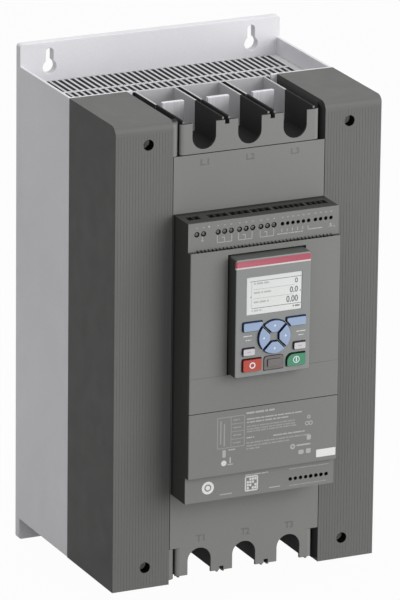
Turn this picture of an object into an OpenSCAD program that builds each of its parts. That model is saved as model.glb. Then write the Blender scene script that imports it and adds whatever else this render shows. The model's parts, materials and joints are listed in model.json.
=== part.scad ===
// Soft starter for a motor feeder, hung on a wall or a mounting plate.
// The back of the chassis is the plane y = 0, the front faces -Y and +Z is up.
// The origin is the middle of the back. All lengths are millimetres.

/* [Chassis] */
// Width over the chassis and both side covers
body_w = 258; // [250:1:280]
// Height of the back plate, over both fixing flanges
plate_h = 471; // [460:1:500]
// Height of each fixing flange beyond the body
flange_h = 20.2; // [19:0.1:24]
// Depth of the fixing flanges
flange_t = 9; // [8:0.5:11]
// Corner radius of the fixing flanges
flange_r = 3; // [2:0.5:8]
// Thickness of the chassis walls
wall_t = 3; // [2.5:0.5:4]
// Depth from the wall to the back of the covers
chassis_depth = 118; // [112:1:126]

/* [Fixings] */
// Distance between the fixings across
fix_pitch = 200; // [188:1:206]
// Distance of the fixings from the ends of the back plate
fix_inset = 9.5; // [9:0.5:11]
// Width of the keyhole slots and diameter of the lower holes
fix_d = 7; // [5:0.5:8]
// Diameter of the keyhole entries
entry_d = 13; // [11:0.5:14]
// Drop from the end of a keyhole slot to the middle of its entry
entry_drop = 14; // [13:0.5:15]
// Width of the solid pad round each fixing
pad_w = 24; // [20:1:28]

/* [Grilles] */
// Depth of the grilles below the ends of the body
grille_drop = 16; // [14:0.5:18]
// Thickness of the grilles
grille_t = 3; // [2:0.5:4]
// Pitch of the grille slots
slot_pitch = 6.1; // [5.5:0.1:8]
// Width of the grille slots
slot_w = 3.4; // [2.5:0.1:4]
// Width of the bar between the two rows of slots
slot_bar = 4.5; // [3:0.5:8]
// Shift of that bar towards the wall
bar_shift = 6.5; // [0:0.5:10]
// Plain margin in front of the slots
grille_margin = 3; // [2:0.5:6]
// Plain margin between the slots and the flange
back_margin = 1.2; // [1:0.1:4]

/* [Heat sink] */
// Thickness of the heat sink's base
sink_base_t = 12; // [10:0.5:14]
// Pitch of the fins
fin_pitch = 8; // [6:0.5:10]
// Thickness of the fins
fin_t = 2.4; // [1.5:0.1:3]
// Height left at each end of the body for the terminals
terminal_room = 62; // [58:1:66]

/* [Fans] */
// Side of a fan frame
fan_side = 92; // [88:1:94]
// Depth of a fan
fan_h = 25; // [22:0.5:28]
// Radius of the fan's air passage
fan_r = 43.5; // [42:0.5:43.5]
// Distance between the two fans' shafts
fan_pitch = 100; // [96:1:110]
// Radius of the fan's hub
hub_r = 19; // [17:0.5:21]
// Radius of the fan's shaft
shaft_r = 2.5; // [2:0.1:3]
// Number of blades
blade_n = 7; // [5:1:9]
// Pitch angle of the blades
blade_angle = 38; // [30:1:45]

/* [Covers] */
// Depth of the covers
cover_depth = 99; // [94:1:106]
// Thickness of the covers
cover_t = 2.5; // [2:0.1:3]
// Radius of the covers' upper front edges
cover_r = 8; // [6:0.5:9]
// Radius of the covers' outer upright edges
edge_r = 1; // [0.5:0.5:5]
// Width of the rolled edges on both sides of the gaps beside the hoods
roll_w = 5; // [3:0.5:6]
// Drop of the rolled edges
roll_d = 2.5; // [1.5:0.1:3]
// How far the covers reach in beside the hoods
arm_w = 4.9; // [4:0.1:6]
// Thickness of those strips
arm_t = 6; // [4:0.5:8]
// Width of the seams between covers
seam = 0.5; // [0.3:0.1:0.8]
// Pitch of the fine upright ribs
rib_pitch = 2.8; // [2.4:0.1:4]
// Width of the grooves between ribs
groove_w = 0.8; // [0.6:0.1:1.6]
// Depth of the grooves between ribs
groove_d = 0.2; // [0.1:0.05:1]
// Plain band between the ribs and the upper end of a cover
rib_margin = 9.5; // [9:0.5:18]
// Distance of the cover screws from the outer sides
screw_inset_x = 31.7; // [30:0.1:34]
// Distance of the cover screws from the ends of the body
screw_inset_z = 19.5; // [17:0.5:20]
// Diameter of the screw recesses
recess_d = 10; // [9.5:0.1:11]
// Depth of the screw recesses
recess_depth = 26; // [20:1:40]
// Diameter of the cover screws
screw_d = 5; // [4:0.5:5]

/* [Power terminals] */
// Distance between phases
phase_pitch = 44; // [43:0.5:45]
// Width of the terminal bars
bar_w = 21; // [18:0.5:24]
// Thickness of the terminal bars
bar_t = 4.5; // [3:0.5:6]
// Distance of the bars' ends from the ends of the body
bar_tip = 3.5; // [3:0.5:6]
// Diameter of the bolt holes in the bars
bar_hole_d = 10.5; // [8:0.5:11]
// Distance of the bolt holes from the ends of the bars
bar_hole_inset = 17.5; // [16:0.5:18.5]
// Width over a terminal hood
hood_w = 135; // [130:0.5:138]
// Gap between a hood and the covers beside it
hood_gap = 1.1; // [0.6:0.1:2]
// Height from the hood's seam to the end of the body
hood_h = 33; // [32:0.5:36]
// Depth of a terminal hood
hood_depth = 59; // [55:0.5:62]
// Distance of the hood's front lip from the end of the body
hood_lip = 4.7; // [4:0.1:6]
// Distance of the partitions' edges from the end of the body
hood_edge = 2.5; // [1.5:0.1:3]
// Width of the U openings
u_w = 22.5; // [21:0.5:25]
// Height of the U openings' floor above the seam
u_floor = 4; // [3.5:0.1:5]
// How much nearer its seam the lower hood's openings and lip lie
low_lift = 1.6; // [0:0.1:2]
// Width of the phase barrier slots
barrier_w = 4; // [3:0.5:5]
// Thickness of the partitions beside the slots
partition_t = 2; // [1.5:0.1:2.5]
// Depth of the barrier slots in the hood's front
barrier_notch = 3.8; // [3:0.1:5]
// Thickness of the light terminal base's back wall
base_wall = 10; // [8:0.5:11]
// Thickness of that wall where it stands above the grille
crown_t = 3.5; // [2.5:0.5:6]

/* [Power parts] */
// Width of a thyristor module
thyristor_w = 34; // [30:1:36]
// Height of a thyristor module
thyristor_h = 110; // [100:1:120]
// Depth of a thyristor module
thyristor_depth = 30; // [28:0.5:32]
// Length of bar that is bolted to a module
bar_lap = 28; // [24:1:34]
// Side of a current sensor
sensor_w = 36; // [32:1:38]
// Height of a current sensor
sensor_h = 36; // [30:1:42]
// Distance of the sensors' middles from the end of the heat sink
sensor_inset = 47; // [44:1:52]
// Height of the power board
power_board_h = 220; // [200:1:230]
// Depth of the bypass contactor
contactor_depth = 44; // [36:1:46]
// Height of the bypass contactor
contactor_h = 104; // [96:1:108]
// Thickness of the circuit boards
board_t = 1.6; // [1.2:0.1:2]

/* [Control module] */
// Width of the control module
module_w = 146; // [144:0.5:150]
// Height of the control module
module_h = 259.5; // [256:0.5:270]
// Height of the module's middle above the body's middle
module_shift = 0; // [-4:0.25:4]
// Depth of the module's base
module_base = 5; // [4.5:0.1:6]
// Depth of the upper terminal strip's front
strip_depth = 31; // [30:0.5:32]
// Height of the upper terminal strip
strip_h = 26; // [25:0.5:28]
// Depth of the main panel's front
panel_depth = 36; // [35:0.5:38]
// Depth of the lower strip's front
foot_depth = 30; // [29:0.5:31]
// Height of the lower strip
foot_h = 25; // [24:0.5:27]
// Wall of the front cover
front_t = 2.5; // [2:0.1:3]
// Radius of the front cover's upright edges
front_r = 1.5; // [1:0.1:2]
// Height of the option slot's cover
option_h = 33; // [30:0.5:36]
// Thickness of the option slot's cover
option_t = 3; // [2.5:0.1:3.5]
// Width of the finger scoop below the keypad
scoop_w = 34; // [26:1:40]
// Height of the finger scoop
scoop_h = 3.6; // [3:0.1:5]
// Pitch of the vent notches on the panel's ledge
vent_pitch = 3.6; // [3:0.1:5]
// Width of the vent notches
vent_w = 2.4; // [1.4:0.1:2.6]

/* [Control terminals] */
// Pitch of the large terminals
large_pitch = 6.35; // [6:0.05:6.4]
// Pitch of the small terminals
small_pitch = 5.08; // [4.8:0.02:5.1]
// Diameter of the large screw openings
large_d = 4.9; // [4.2:0.1:5.2]
// Diameter of the small screw openings
small_d = 3.3; // [2.8:0.1:3.6]
// Height of the screw openings below the top of the module
terminal_drop = 10.5; // [10:0.5:12]
// Depth of the cable entries behind the strip's front
entry_back = 15; // [14:0.5:16]
// Length of the cable entries front to back
entry_len = 9; // [3:0.1:10]
// Depth of the screw openings in a terminal block
well_depth = 4; // [3:0.1:5]
// Height of a terminal block
block_h = 20; // [19:0.5:21]

/* [Keypad] */
// Width of the keypad
keypad_w = 73; // [72:0.5:76]
// Height of the keypad
keypad_h = 109; // [108.5:0.5:112]
// Shift of the keypad to the right of the middle
keypad_x = 1.2; // [-2:0.1:3]
// Shift of the keys and the window to the right of the keypad's middle
face_shift = 1.1; // [0:0.1:1.4]
// Drop from the panel's upper edge to the top of the keypad
keypad_drop = 6.3; // [5.5:0.1:8]
// How far the keypad stands proud of the panel
keypad_proud = 13.5; // [12:0.5:16]
// How deep the keypad sits in its bay
keypad_insert = 13; // [11:0.5:14]
// Gap between the keypad and its bay
bay_gap = 1.2; // [0.6:0.1:1.5]
// Walls of the bay
bay_t = 1.5; // [1.2:0.1:2]
// Wall of the keypad's case
case_t = 2.5; // [2.2:0.1:2.7]
// Corner radius of the keypad's face
case_r = 2; // [1.5:0.1:3]
// Width of the display window
window_w = 53.4; // [50:0.1:56]
// Height of the display window
window_h = 34.6; // [32:0.1:36]
// Height of the window's middle above the keypad's lower edge
window_v = 74.3; // [74:0.1:76]
// Thickness of the display window
window_t = 1.3; // [1:0.1:1.5]
// Width of the ledge that carries the window
window_ledge = 1.2; // [1:0.1:1.5]

/* [Keys] */
// How far the keys stand proud of the keypad's face
key_proud = 2.4; // [1.5:0.1:3]
// Travel of the keys
key_travel = 1; // [0.6:0.1:1.2]
// Clearance round the keys
key_gap = 0.8; // [0.3:0.05:1]
// Overhang of the keys' inner flanges
key_flange = 1.3; // [1.1:0.05:1.4]
// Thickness of the keys' inner flanges
key_flange_t = 1; // [0.8:0.1:1.2]
// Radius of the arrow keys' ring
ring_r = 15.2; // [14.5:0.1:15.5]
// Height of the ring's middle above the keypad's lower edge
ring_v = 34.9; // [34.5:0.1:35.5]
// Gap between two arrow keys
ring_gap = 2.4; // [2.3:0.1:3]
// Gap between the ring and the soft keys
ring_clear = 2.4; // [2.3:0.1:3]
// Side of the square in the middle of the ring
ring_square = 9; // [8:0.1:10]
// Distance of the outer ends of the side keys from the middle
key_reach = 30.2; // [30:0.1:31]
// Length of the soft keys
soft_len = 18.3; // [17.5:0.1:19]
// Height of the soft keys
soft_h = 7.6; // [7:0.1:8.5]
// Height of the soft keys' middle above the keypad's lower edge
soft_v = 46.7; // [46.4:0.1:47]
// Length of the help and local keys
small_len = 11; // [10.5:0.1:11.5]
// Height of the help and local keys
small_h = 6.1; // [5.8:0.1:6.4]
// Height of their middle above the keypad's lower edge
small_v = 23.7; // [23.5:0.1:24]
// Length of the stop and start keys
motor_len = 17.7; // [17:0.1:18.2]
// Height of the stop and start keys
motor_h = 10.8; // [10:0.1:11]
// Height of their middle above the keypad's lower edge
motor_v = 11.2; // [10.8:0.1:11.3]
// Radius of the start key's large corner
start_r = 6; // [4:0.1:7]
// Corner radius of the keys
key_r = 1.2; // [0.8:0.1:1.6]
// Width of the port cover
port_w = 18.8; // [16:0.1:19]
// Height of the port cover
port_h = 13; // [11:0.1:13.4]
// Height of the port cover's lower edge above the keypad's
port_v = 4.3; // [4:0.1:4.6]
// Radius of the port cover's upper corners
port_r = 3; // [1.5:0.1:4]
// How far the port cover stands proud
port_proud = 0.8; // [0.6:0.1:1.2]
// Thickness of the port cover inside the keypad's face
port_t = 1.5; // [1.2:0.1:1.6]
// Width of the finger tab on the port cover
tab_w = 12.5; // [10:0.1:14]
// Height of the finger tab
tab_h = 7; // [5:0.1:8]
// How far the tab stands proud of the port cover
tab_proud = 1.4; // [0.8:0.1:1.8]

/* [Hidden] */
$fn = 48;
// Overshoot of cuts
cut = 1;
// Gap between pieces that meet without a fit
fit = 0.3;
// Running clearance of a shaft
run = 0.05;
// Gap between a moving key and the face behind it
key_rest = 0.3;

body_h = plate_h - 2 * flange_h;
top = body_h / 2;
cover_back = -chassis_depth;
cover_front = -(chassis_depth + cover_depth);
inner_x = body_w / 2 - wall_t;

// Chassis levels
grille_z = top - grille_drop - grille_t;
flange_root = grille_z - wall_t;
sink_end = top - terminal_room;
duct_front = cover_back + sink_base_t;
ledge_w = 2 * wall_t;
fix_z = plate_h / 2 - fix_inset;

// Cover screws
screw_x = body_w / 2 - screw_inset_x;
screw_z = top - screw_inset_z;
recess_floor = cover_front + recess_depth;
recess_web = 4;
tube_r = recess_d / 2 + cover_t;
screw_head_t = 3.5;
drive_len = 2 * recess_d / 3;
drive_w = recess_d / 6;
drive_depth = 2;
drive_turn = 45;
boss_r = screw_d / 2 + wall_t;
boss_depth = 3 * wall_t;

// Covers and hoods
arm_x = hood_w / 2 + hood_gap;
middle_w = 2 * (arm_x + arm_w);
cover_x = middle_w / 2 + seam / 2;
middle_x = middle_w / 2 - seam / 2;
seam_z = top - hood_h;
hood_back = cover_front + hood_depth;
lip_z = top - hood_lip;
// Inner face of the compartments' outer walls, as far from the outer bars as the partitions are
outer_wall_x = 3 * phase_pitch / 2 - barrier_w / 2 - partition_t;
edge_z = top - hood_edge;
return_depth = 22;
// Rise of the terminal base's floor above the end of the heat sink
base_rise = 16;
// Step of the terminal base's back behind the heat sink's base
base_step = 2;

// Power parts
bar_back = cover_back - thyristor_depth;
bar_front = bar_back - bar_t;
bar_end = top - bar_tip;
bar_hole_z = bar_end - bar_hole_inset;
phases = [-phase_pitch, 0, phase_pitch];
lug_margin = 4;
module_step = 5;
sensor_front = 16;
sensor_gap = 1;
sensor_depth = thyristor_depth + bar_t + sensor_front;
leg_w = 6;
contactor_gap = 3.5;
contactor_rim = 3;
contactor_slot_w = 4;
contactor_slot_depth = 14;
contactor_back = bar_front - contactor_gap;
contactor_w = 2 * phase_pitch + bar_w + 2 * contactor_rim;
board_gap = 6;
board_margin = 4;
board_front = cover_front + cover_t + board_gap;
board_w = 2 * (middle_x - 2 * cover_t - board_margin);

// Fans
fan_z = -grille_z;
fan_y = -(flange_t + chassis_depth - sink_base_t) / 2;
fan_web = 3;
rotor_drop = 2;
rotor_h = fan_h - fan_web - 2 * fit - rotor_drop;
blade_margin = 1;
blade_chord = 2 * fan_r / 3;
blade_t = 1.6;
fan_tip_gap = 1;
fan_bolt_r = 2.2;
fan_bolt_inset = 5;

// Control module levels
module_z1 = module_shift + module_h / 2;
module_z0 = module_shift - module_h / 2;
strip_z = module_z1 - strip_h;
foot_z = module_z0 + foot_h;
strip_y = cover_front - strip_depth;
panel_y = cover_front - panel_depth;
foot_y = cover_front - foot_depth;
cover_joint = cover_front - module_base;
board_lift = 1;
control_board_y = cover_front - module_base - board_lift;
boss_d = 7;
scoop_floor = 0.8;
vent_in = 0.5;
vent_rise = 1;

// Control terminals: first pole from the middle, number of poles, pitch, opening
supply_n = 2;
relay_n = 3;
input_n = 6;
sensor_n = 4;
bus_n = 8;
strip_margin = 8.4;
supply_gap = 14.1;
relay_gap = 7.95;
sensor_gap_x = 6.6;
bus_margin = 7.1;
supply_x = strip_margin - module_w / 2;
relay_x = supply_x + large_pitch * (supply_n - 1) + supply_gap;
relay_step = large_pitch * (relay_n - 1) + relay_gap;
input_x = relay_x + 3 * relay_step + fit;
sensor_x = input_x + small_pitch * (input_n - 1) + sensor_gap_x;
bus_x = module_w / 2 - bus_margin - small_pitch * (bus_n - 1);
upper_groups = [
    [supply_x, supply_n, large_pitch, large_d],
    [relay_x, relay_n, large_pitch, large_d],
    [relay_x + relay_step, relay_n, large_pitch, large_d],
    [relay_x + 2 * relay_step, relay_n, large_pitch, large_d],
    [input_x, input_n, small_pitch, small_d],
    [sensor_x, sensor_n, small_pitch, small_d]
];
lower_group = [bus_x, bus_n, small_pitch, small_d];
upper_pole_z = module_z1 - terminal_drop;
foot_pole_drop = 0.9;
lower_pole_z = module_z0 + terminal_drop - foot_pole_drop;
block_front_upper = strip_y + front_t;
block_front_lower = foot_y + front_t;
block_back = control_board_y - board_t;
screw_plate = 1.6;
screw_slot_w = 0.7;
head_drop = 0.6;
dome_h = 1.1;
dome_share = 0.55;
screw_turn = 30;
entry_depth = 8;
entry_wall = 0.8;

// Keypad levels
keypad_z1 = strip_z - keypad_drop;
keypad_z0 = keypad_z1 - keypad_h;
keypad_front = panel_y - keypad_proud;
keypad_back_y = panel_y + keypad_insert;
face_back = keypad_front + case_t;
case_side = 2;
bay_floor = keypad_back_y + fit;
bay_top = keypad_z1 + bay_gap;
option_z1 = keypad_z0 - fit;
option_z0 = option_z1 - option_h;
flange_front = face_back + key_rest;
flange_back = flange_front + key_flange_t;
dome_gap = 1;
keypad_board_front = flange_back + key_travel + dome_gap;
keypad_board_back = keypad_board_front + board_t;
back_plate_t = 2;
post_d = 5;
display_rim = 3;
display_x = window_w / 2 + display_rim;
display_v = window_h / 2 + display_rim;
port_hole_w = 9;
port_hole_h = 4.5;
port_hole_v = port_v + 2;
tab_inset = 2.2;
hinge_r = (port_t + port_proud) / 2;
hinge_y = keypad_front + (port_t - port_proud) / 2;
hinge_v = port_v + hinge_r;

light_grey = "#c4c4c6";
cover_grey = "#5a5b5a";
middle_grey = "#7d7d7b";
module_grey = "#757573";
dark_grey = "#2e2e2c";
metal_grey = "#c8c9cc";
key_blue = "#a3bcdc";
board_green = "#2f5a3c";

// Shared shapes

// Box between two corners
module block(lo, hi) {
    translate(lo) cube(hi - lo);
}

// Profile in X and Z, extruded from y_back towards the front
module frontal(y_back, depth) {
    translate([0, y_back, 0]) rotate([90, 0, 0]) linear_extrude(depth) children();
}

// Profile in Y and Z, extruded along X
module across(x0, x1) {
    translate([x0, 0, 0]) rotate([90, 0, 90]) linear_extrude(x1 - x0) children();
}

// Profile in X and Y, extruded upwards
module upright(z0, z1) {
    translate([0, 0, z0]) linear_extrude(z1 - z0) children();
}

// Round bar or hole along Y
module pin_y(x, z, y_back, y_front, r) {
    translate([x, y_back, z]) rotate([90, 0, 0]) cylinder(h = y_back - y_front, r = r);
}

// The same shape on the left and on the right
module both_sides() {
    children();
    mirror([1, 0, 0]) children();
}

// The same shape at the upper and at the lower end
module both_ends() {
    children();
    mirror([0, 0, 1]) children();
}

// Rectangle between two corners with rounded corners
module round_rect(lo, hi, r) {
    translate([lo[0] + r, lo[1]]) square([hi[0] - lo[0] - 2 * r, hi[1] - lo[1]]);
    translate([lo[0], lo[1] + r]) square([hi[0] - lo[0], hi[1] - lo[1] - 2 * r]);
    for (x = [lo[0] + r, hi[0] - r], y = [lo[1] + r, hi[1] - r]) translate([x, y]) circle(r);
}

// What is cut off a square corner to round it, the corner pointing to +X and -Y
module corner_waste(r) {
    difference() {
        translate([-r, -cut]) square([r + cut, r + cut]);
        translate([-r, r]) circle(r);
    }
}

// What is cut off such a corner to roll it down by d over the width w
module roll_waste(w, d) {
    r = (w * w + d * d) / (2 * d);
    difference() {
        translate([-w, -cut]) square([w + cut, d + cut]);
        translate([-w, r]) circle(r);
    }
}

// Chassis and cooling

// Outline of the upper fixing flange
module flange_outline() {
    half = body_w / 2;
    translate([-half, flange_root]) square([body_w, plate_h / 2 - flange_root - flange_r]);
    translate([-half + flange_r, flange_root]) square([body_w - 2 * flange_r, plate_h / 2 - flange_root]);
    for (x = [-half + flange_r, half - flange_r]) translate([x, plate_h / 2 - flange_r]) circle(flange_r);
}

// Hollows moulded into the back of a flange, clear of the fixing pads and the middle rib
module flange_hollows() {
    z0 = flange_root + wall_t;
    z1 = plate_h / 2 - wall_t;
    pad_in = fix_pitch / 2 - pad_w / 2;
    pad_out = fix_pitch / 2 + pad_w / 2;
    block([wall_t / 2, wall_t - flange_t, z0], [pad_in, cut, z1]);
    block([pad_out, wall_t - flange_t, z0], [inner_x, cut, z1]);
}

module keyhole() {
    x = fix_pitch / 2;
    pin_y(x, fix_z, cut, -flange_t - cut, fix_d / 2);
    pin_y(x, fix_z - entry_drop, cut, -flange_t - cut, entry_d / 2);
    block([x - fix_d / 2, -flange_t - cut, fix_z - entry_drop], [x + fix_d / 2, cut, fix_z]);
}

// Front wall beside the terminals, with the boss for a cover screw
module chassis_corner() {
    block([hood_w / 2 + fit, cover_back, sink_end], [inner_x + wall_t / 2, cover_back + wall_t, top]);
    pin_y(screw_x, screw_z, cover_back + boss_depth, cover_back, boss_r);
    block([inner_x - ledge_w, duct_front, grille_z - wall_t], [inner_x + wall_t / 2, -wall_t / 2, grille_z]);
}

module chassis() {
    color(light_grey) difference() {
        union() {
            block([-body_w / 2, -wall_t, -flange_root], [body_w / 2, 0, flange_root]);
            both_ends() frontal(0, flange_t) flange_outline();
            both_sides() block([inner_x, cover_back, -top], [body_w / 2, 0, top]);
            both_sides() both_ends() chassis_corner();
        }
        both_ends() both_sides() flange_hollows();
        both_sides() keyhole();
        both_sides() pin_y(fix_pitch / 2, -fix_z, cut, -flange_t - cut, fix_d / 2);
        both_ends() both_sides()
            pin_y(screw_x, screw_z, cover_back + boss_depth + cut, cover_back - cut, screw_d / 2 + run);
    }
}

// Ear of the grille that fills the duct beside the terminal base, cut round the screw boss
module grille_ear() {
    difference() {
        block([hood_w / 2 + fit, cover_back + wall_t + fit, grille_z],
              [inner_x - fit, duct_front + base_step + cut, grille_z + grille_t]);
        block([screw_x - boss_r - fit, cover_back, grille_z - cut],
              [screw_x + boss_r + fit, cover_back + boss_depth + fit, grille_z + grille_t + cut]);
    }
}

// Grille in the upper end of the duct, two rows of slots from back to front
module grille() {
    x1 = inner_x - fit;
    y1 = -flange_t - fit;
    y0 = duct_front + base_step + fit;
    slot_n = floor((2 * (x1 - ledge_w) + slot_pitch - slot_w) / slot_pitch);
    slot_len = (y1 - y0 - grille_margin - back_margin - slot_bar) / 2;
    bar_y = y0 + grille_margin + slot_len + bar_shift;
    rows = [[y0 + grille_margin, bar_y], [bar_y + slot_bar, y1 - back_margin]];
    color(light_grey) difference() {
        union() {
            block([-x1, y0, grille_z], [x1, y1, grille_z + grille_t]);
            both_sides() grille_ear();
        }
        for (i = [0 : slot_n - 1], row = rows) {
            x = (i - (slot_n - 1) / 2) * slot_pitch;
            block([x - slot_w / 2, row[0], grille_z - cut],
                  [x + slot_w / 2, row[1], grille_z + grille_t + cut]);
        }
    }
}

module top_grille() {
    grille();
}

module bottom_grille() {
    mirror([0, 0, 1]) grille();
}

// Heat sink with its base to the front and its fins in the duct
module heat_sink() {
    fin_x = inner_x - ledge_w - wall_t;
    fin_n = floor(2 * fin_x / fin_pitch) + 1;
    fin_end = grille_z - 2 * wall_t;
    fin_foot = fan_z + fan_h + 2 * wall_t;
    color(metal_grey) union() {
        block([-inner_x, cover_back, -sink_end], [inner_x, duct_front, sink_end]);
        for (i = [0 : fin_n - 1]) {
            x = (i - (fin_n - 1) / 2) * fin_pitch;
            block([x - fin_t / 2, duct_front - cut, max(-sink_end, fin_foot)],
                  [x + fin_t / 2, -wall_t - fit, min(sink_end, fin_end)]);
        }
    }
}

module fan_frame(x) {
    half = fan_side / 2;
    bolt = half - fan_bolt_inset;
    color(dark_grey) translate([x, fan_y, fan_z]) {
        difference() {
            block([-half, -half, 0], [half, half, fan_h]);
            translate([0, 0, -cut]) cylinder(h = fan_h + 2 * cut, r = fan_r);
            for (bx = [-bolt, bolt], by = [-bolt, bolt])
                translate([bx, by, -cut]) cylinder(h = fan_h + 2 * cut, r = fan_bolt_r);
        }
        cylinder(h = fan_web, r = hub_r);
        for (a = [45 : 90 : 315]) rotate(a)
            block([hub_r - cut, -fan_web / 2, 0], [fan_r + cut, fan_web / 2, fan_web]);
        cylinder(h = fan_web + rotor_h, r = shaft_r);
    }
}

// Pitched blades, trimmed to the air passage
module fan_blades() {
    intersection() {
        for (i = [0 : blade_n - 1]) rotate(i * 360 / blade_n)
            translate([0, 0, rotor_h / 2]) rotate([blade_angle, 0, 0])
                block([hub_r - cut, -blade_chord / 2, -blade_t / 2], [fan_r, blade_chord / 2, blade_t / 2]);
        translate([0, 0, blade_margin]) cylinder(h = rotor_h - 2 * blade_margin, r = fan_r - fan_tip_gap);
    }
}

// Hub with its blades, on the frame's shaft
module fan_rotor(x) {
    foot = fan_web + fit;
    color(dark_grey) translate([x, fan_y, fan_z + foot]) difference() {
        union() {
            cylinder(h = rotor_h, r = hub_r);
            fan_blades();
        }
        translate([0, 0, -cut]) cylinder(h = rotor_h + 2 * cut, r = shaft_r + run);
    }
}

// Power parts

module thyristor(x) {
    half = thyristor_w / 2;
    end = thyristor_h / 2;
    lug = end - bar_lap - lug_margin;
    color(dark_grey) difference() {
        block([x - half, bar_back, -end], [x + half, cover_back, end]);
        block([x - half - cut, bar_back - cut, -lug], [x + half + cut, bar_back + module_step, lug]);
    }
}

// Bar from a module to the upper end, with its bolt hole
module terminal_bar(x) {
    color(metal_grey) difference() {
        block([x - bar_w / 2, bar_front, thyristor_h / 2 - bar_lap], [x + bar_w / 2, bar_back, bar_end]);
        pin_y(x, bar_hole_z, bar_back + cut, bar_front - cut, bar_hole_d / 2);
    }
}

module current_sensor(x) {
    window = bar_w / 2 + sensor_gap;
    z0 = sensor_inset - sink_end - sensor_h / 2;
    z1 = z0 + sensor_h;
    color(dark_grey) difference() {
        block([x - sensor_w / 2, cover_back - sensor_depth, z0], [x + sensor_w / 2, cover_back, z1]);
        block([x - window, bar_front - sensor_gap, z0 - cut], [x + window, bar_back + sensor_gap, z1 + cut]);
    }
}

// Contactor in front of the modules, on legs that stand between them
module bypass_contactor() {
    front = contactor_back - contactor_depth;
    end = contactor_h / 2;
    slot = contactor_slot_w / 2;
    leg = leg_w / 2;
    color(dark_grey) union() {
        difference() {
            block([-contactor_w / 2, front, -end], [contactor_w / 2, contactor_back, end]);
            for (x = [-phase_pitch / 2, phase_pitch / 2])
                block([x - slot, front - cut, -end - cut],
                      [x + slot, front + contactor_slot_depth, end + cut]);
        }
        for (x = [-phase_pitch / 2, phase_pitch / 2], z = [leg_w - end, end - leg_w])
            block([x - leg, contactor_back - cut, z - leg], [x + leg, cover_back, z + leg]);
    }
}

module power_board() {
    x = board_w / 2;
    z = power_board_h / 2;
    color(board_green) block([-x, board_front, -z], [x, board_front + board_t, z]);
}

// Terminal ends

// Upright walls of the compartments between two depths: outer walls and barrier pairs
module compartment_walls(y_front, y_back, z0, z1) {
    both_sides() {
        block([outer_wall_x, y_front, z0], [outer_wall_x + partition_t, y_back, z1]);
        for (side = [-1, 1]) {
            x = phase_pitch / 2 + side * (barrier_w + partition_t) / 2;
            block([x - partition_t / 2, y_front, z0], [x + partition_t / 2, y_back, z1]);
        }
    }
}

// Light base behind a hood, with a slot in its floor for each bar
module terminal_base() {
    floor_z = sink_end + base_rise;
    y_back = duct_front + base_step;
    y_wall = y_back - base_wall;
    y_front = hood_back;
    color(light_grey) difference() {
        union() {
            block([-hood_w / 2, y_wall, sink_end], [hood_w / 2, y_back, edge_z]);
            block([-hood_w / 2, y_front, floor_z], [hood_w / 2, y_wall, floor_z + wall_t]);
            compartment_walls(y_front, y_wall, floor_z, edge_z);
        }
        block([-hood_w, y_wall + crown_t, grille_z + grille_t], [hood_w, y_back + cut, top]);
        for (x = phases)
            block([x - bar_w / 2 - fit, bar_front - fit, floor_z - cut],
                  [x + bar_w / 2 + fit, bar_back + fit, floor_z + wall_t + cut]);
    }
}

module upper_terminal_base() {
    terminal_base();
}

module lower_terminal_base() {
    mirror([0, 0, 1]) terminal_base();
}

// Front of a hood: U openings for the cables and notches for the phase barriers
module hood_face(z0, lift) {
    u_r = u_w / 2;
    u_z = seam_z + u_floor + u_r - lift;
    difference() {
        translate([-hood_w / 2, z0]) square([hood_w, lip_z - lift - z0]);
        for (x = phases) {
            translate([x, u_z]) circle(u_r);
            translate([x - u_r, u_z]) square([u_w, hood_h]);
        }
        for (x = [-phase_pitch / 2, phase_pitch / 2])
            translate([x - barrier_w / 2, lip_z - lift - barrier_notch]) square([barrier_w, hood_h]);
    }
}

// Hood over the upper terminals, from the seam at z0, its openings and lip lowered by a lift
module terminal_hood(z0, lift) {
    difference() {
        union() {
            frontal(cover_front + cover_t, cover_t) hood_face(z0, lift);
            block([-hood_w / 2, cover_front, z0], [hood_w / 2, hood_back, z0 + partition_t]);
            difference() {
                compartment_walls(cover_front + cover_t - cut, hood_back, z0, edge_z - lift);
                block([-hood_w, cover_front - cut, lip_z - lift], [hood_w, cover_front + cover_t, top + cut]);
            }
        }
        both_sides() upright(z0 - cut, top + cut)
            translate([hood_w / 2, cover_front]) roll_waste(roll_w, roll_d);
    }
}

module upper_hood() {
    color(middle_grey) terminal_hood(seam_z + seam / 2, 0);
}

// The lower hood meets the middle cover flush, without a seam's gap
module lower_hood() {
    color(middle_grey) mirror([0, 0, 1]) terminal_hood(seam_z, low_lift);
}

// Covers

// Section of the side covers, inset by a wall: rounded above, square below
module cover_section(inset) {
    r = cover_r - inset;
    z = top - inset;
    y = cover_front + inset;
    translate([y + r, -z]) square([cover_back - y - r, 2 * z]);
    translate([y, -z]) square([r, 2 * z - r]);
    translate([y + r, z - r]) circle(r);
}

// Strips of the right side cover's front that reach in beside the hoods
module cover_arms() {
    x1 = cover_x + cover_t;
    intersection() {
        across(arm_x, x1) cover_section(0);
        both_ends()
            block([arm_x - cut, cover_front - cut, seam_z], [x1 + cut, cover_front + arm_t, top + cut]);
    }
}

// Cavity of the right side cover, open to the back and to the middle
module cover_cavity() {
    window_z = seam_z - 2 * cover_t;
    across(cover_x + cover_t, body_w / 2 - cover_t) union() {
        cover_section(cover_t);
        translate([cover_back - cut, -top + cover_t]) square([2 * cut, 2 * (top - cover_t)]);
    }
    block([cover_x - cut, cover_front + 3 * cover_t, -window_z],
          [cover_x + cover_t + cut, cover_back + cut, window_z]);
}

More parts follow.
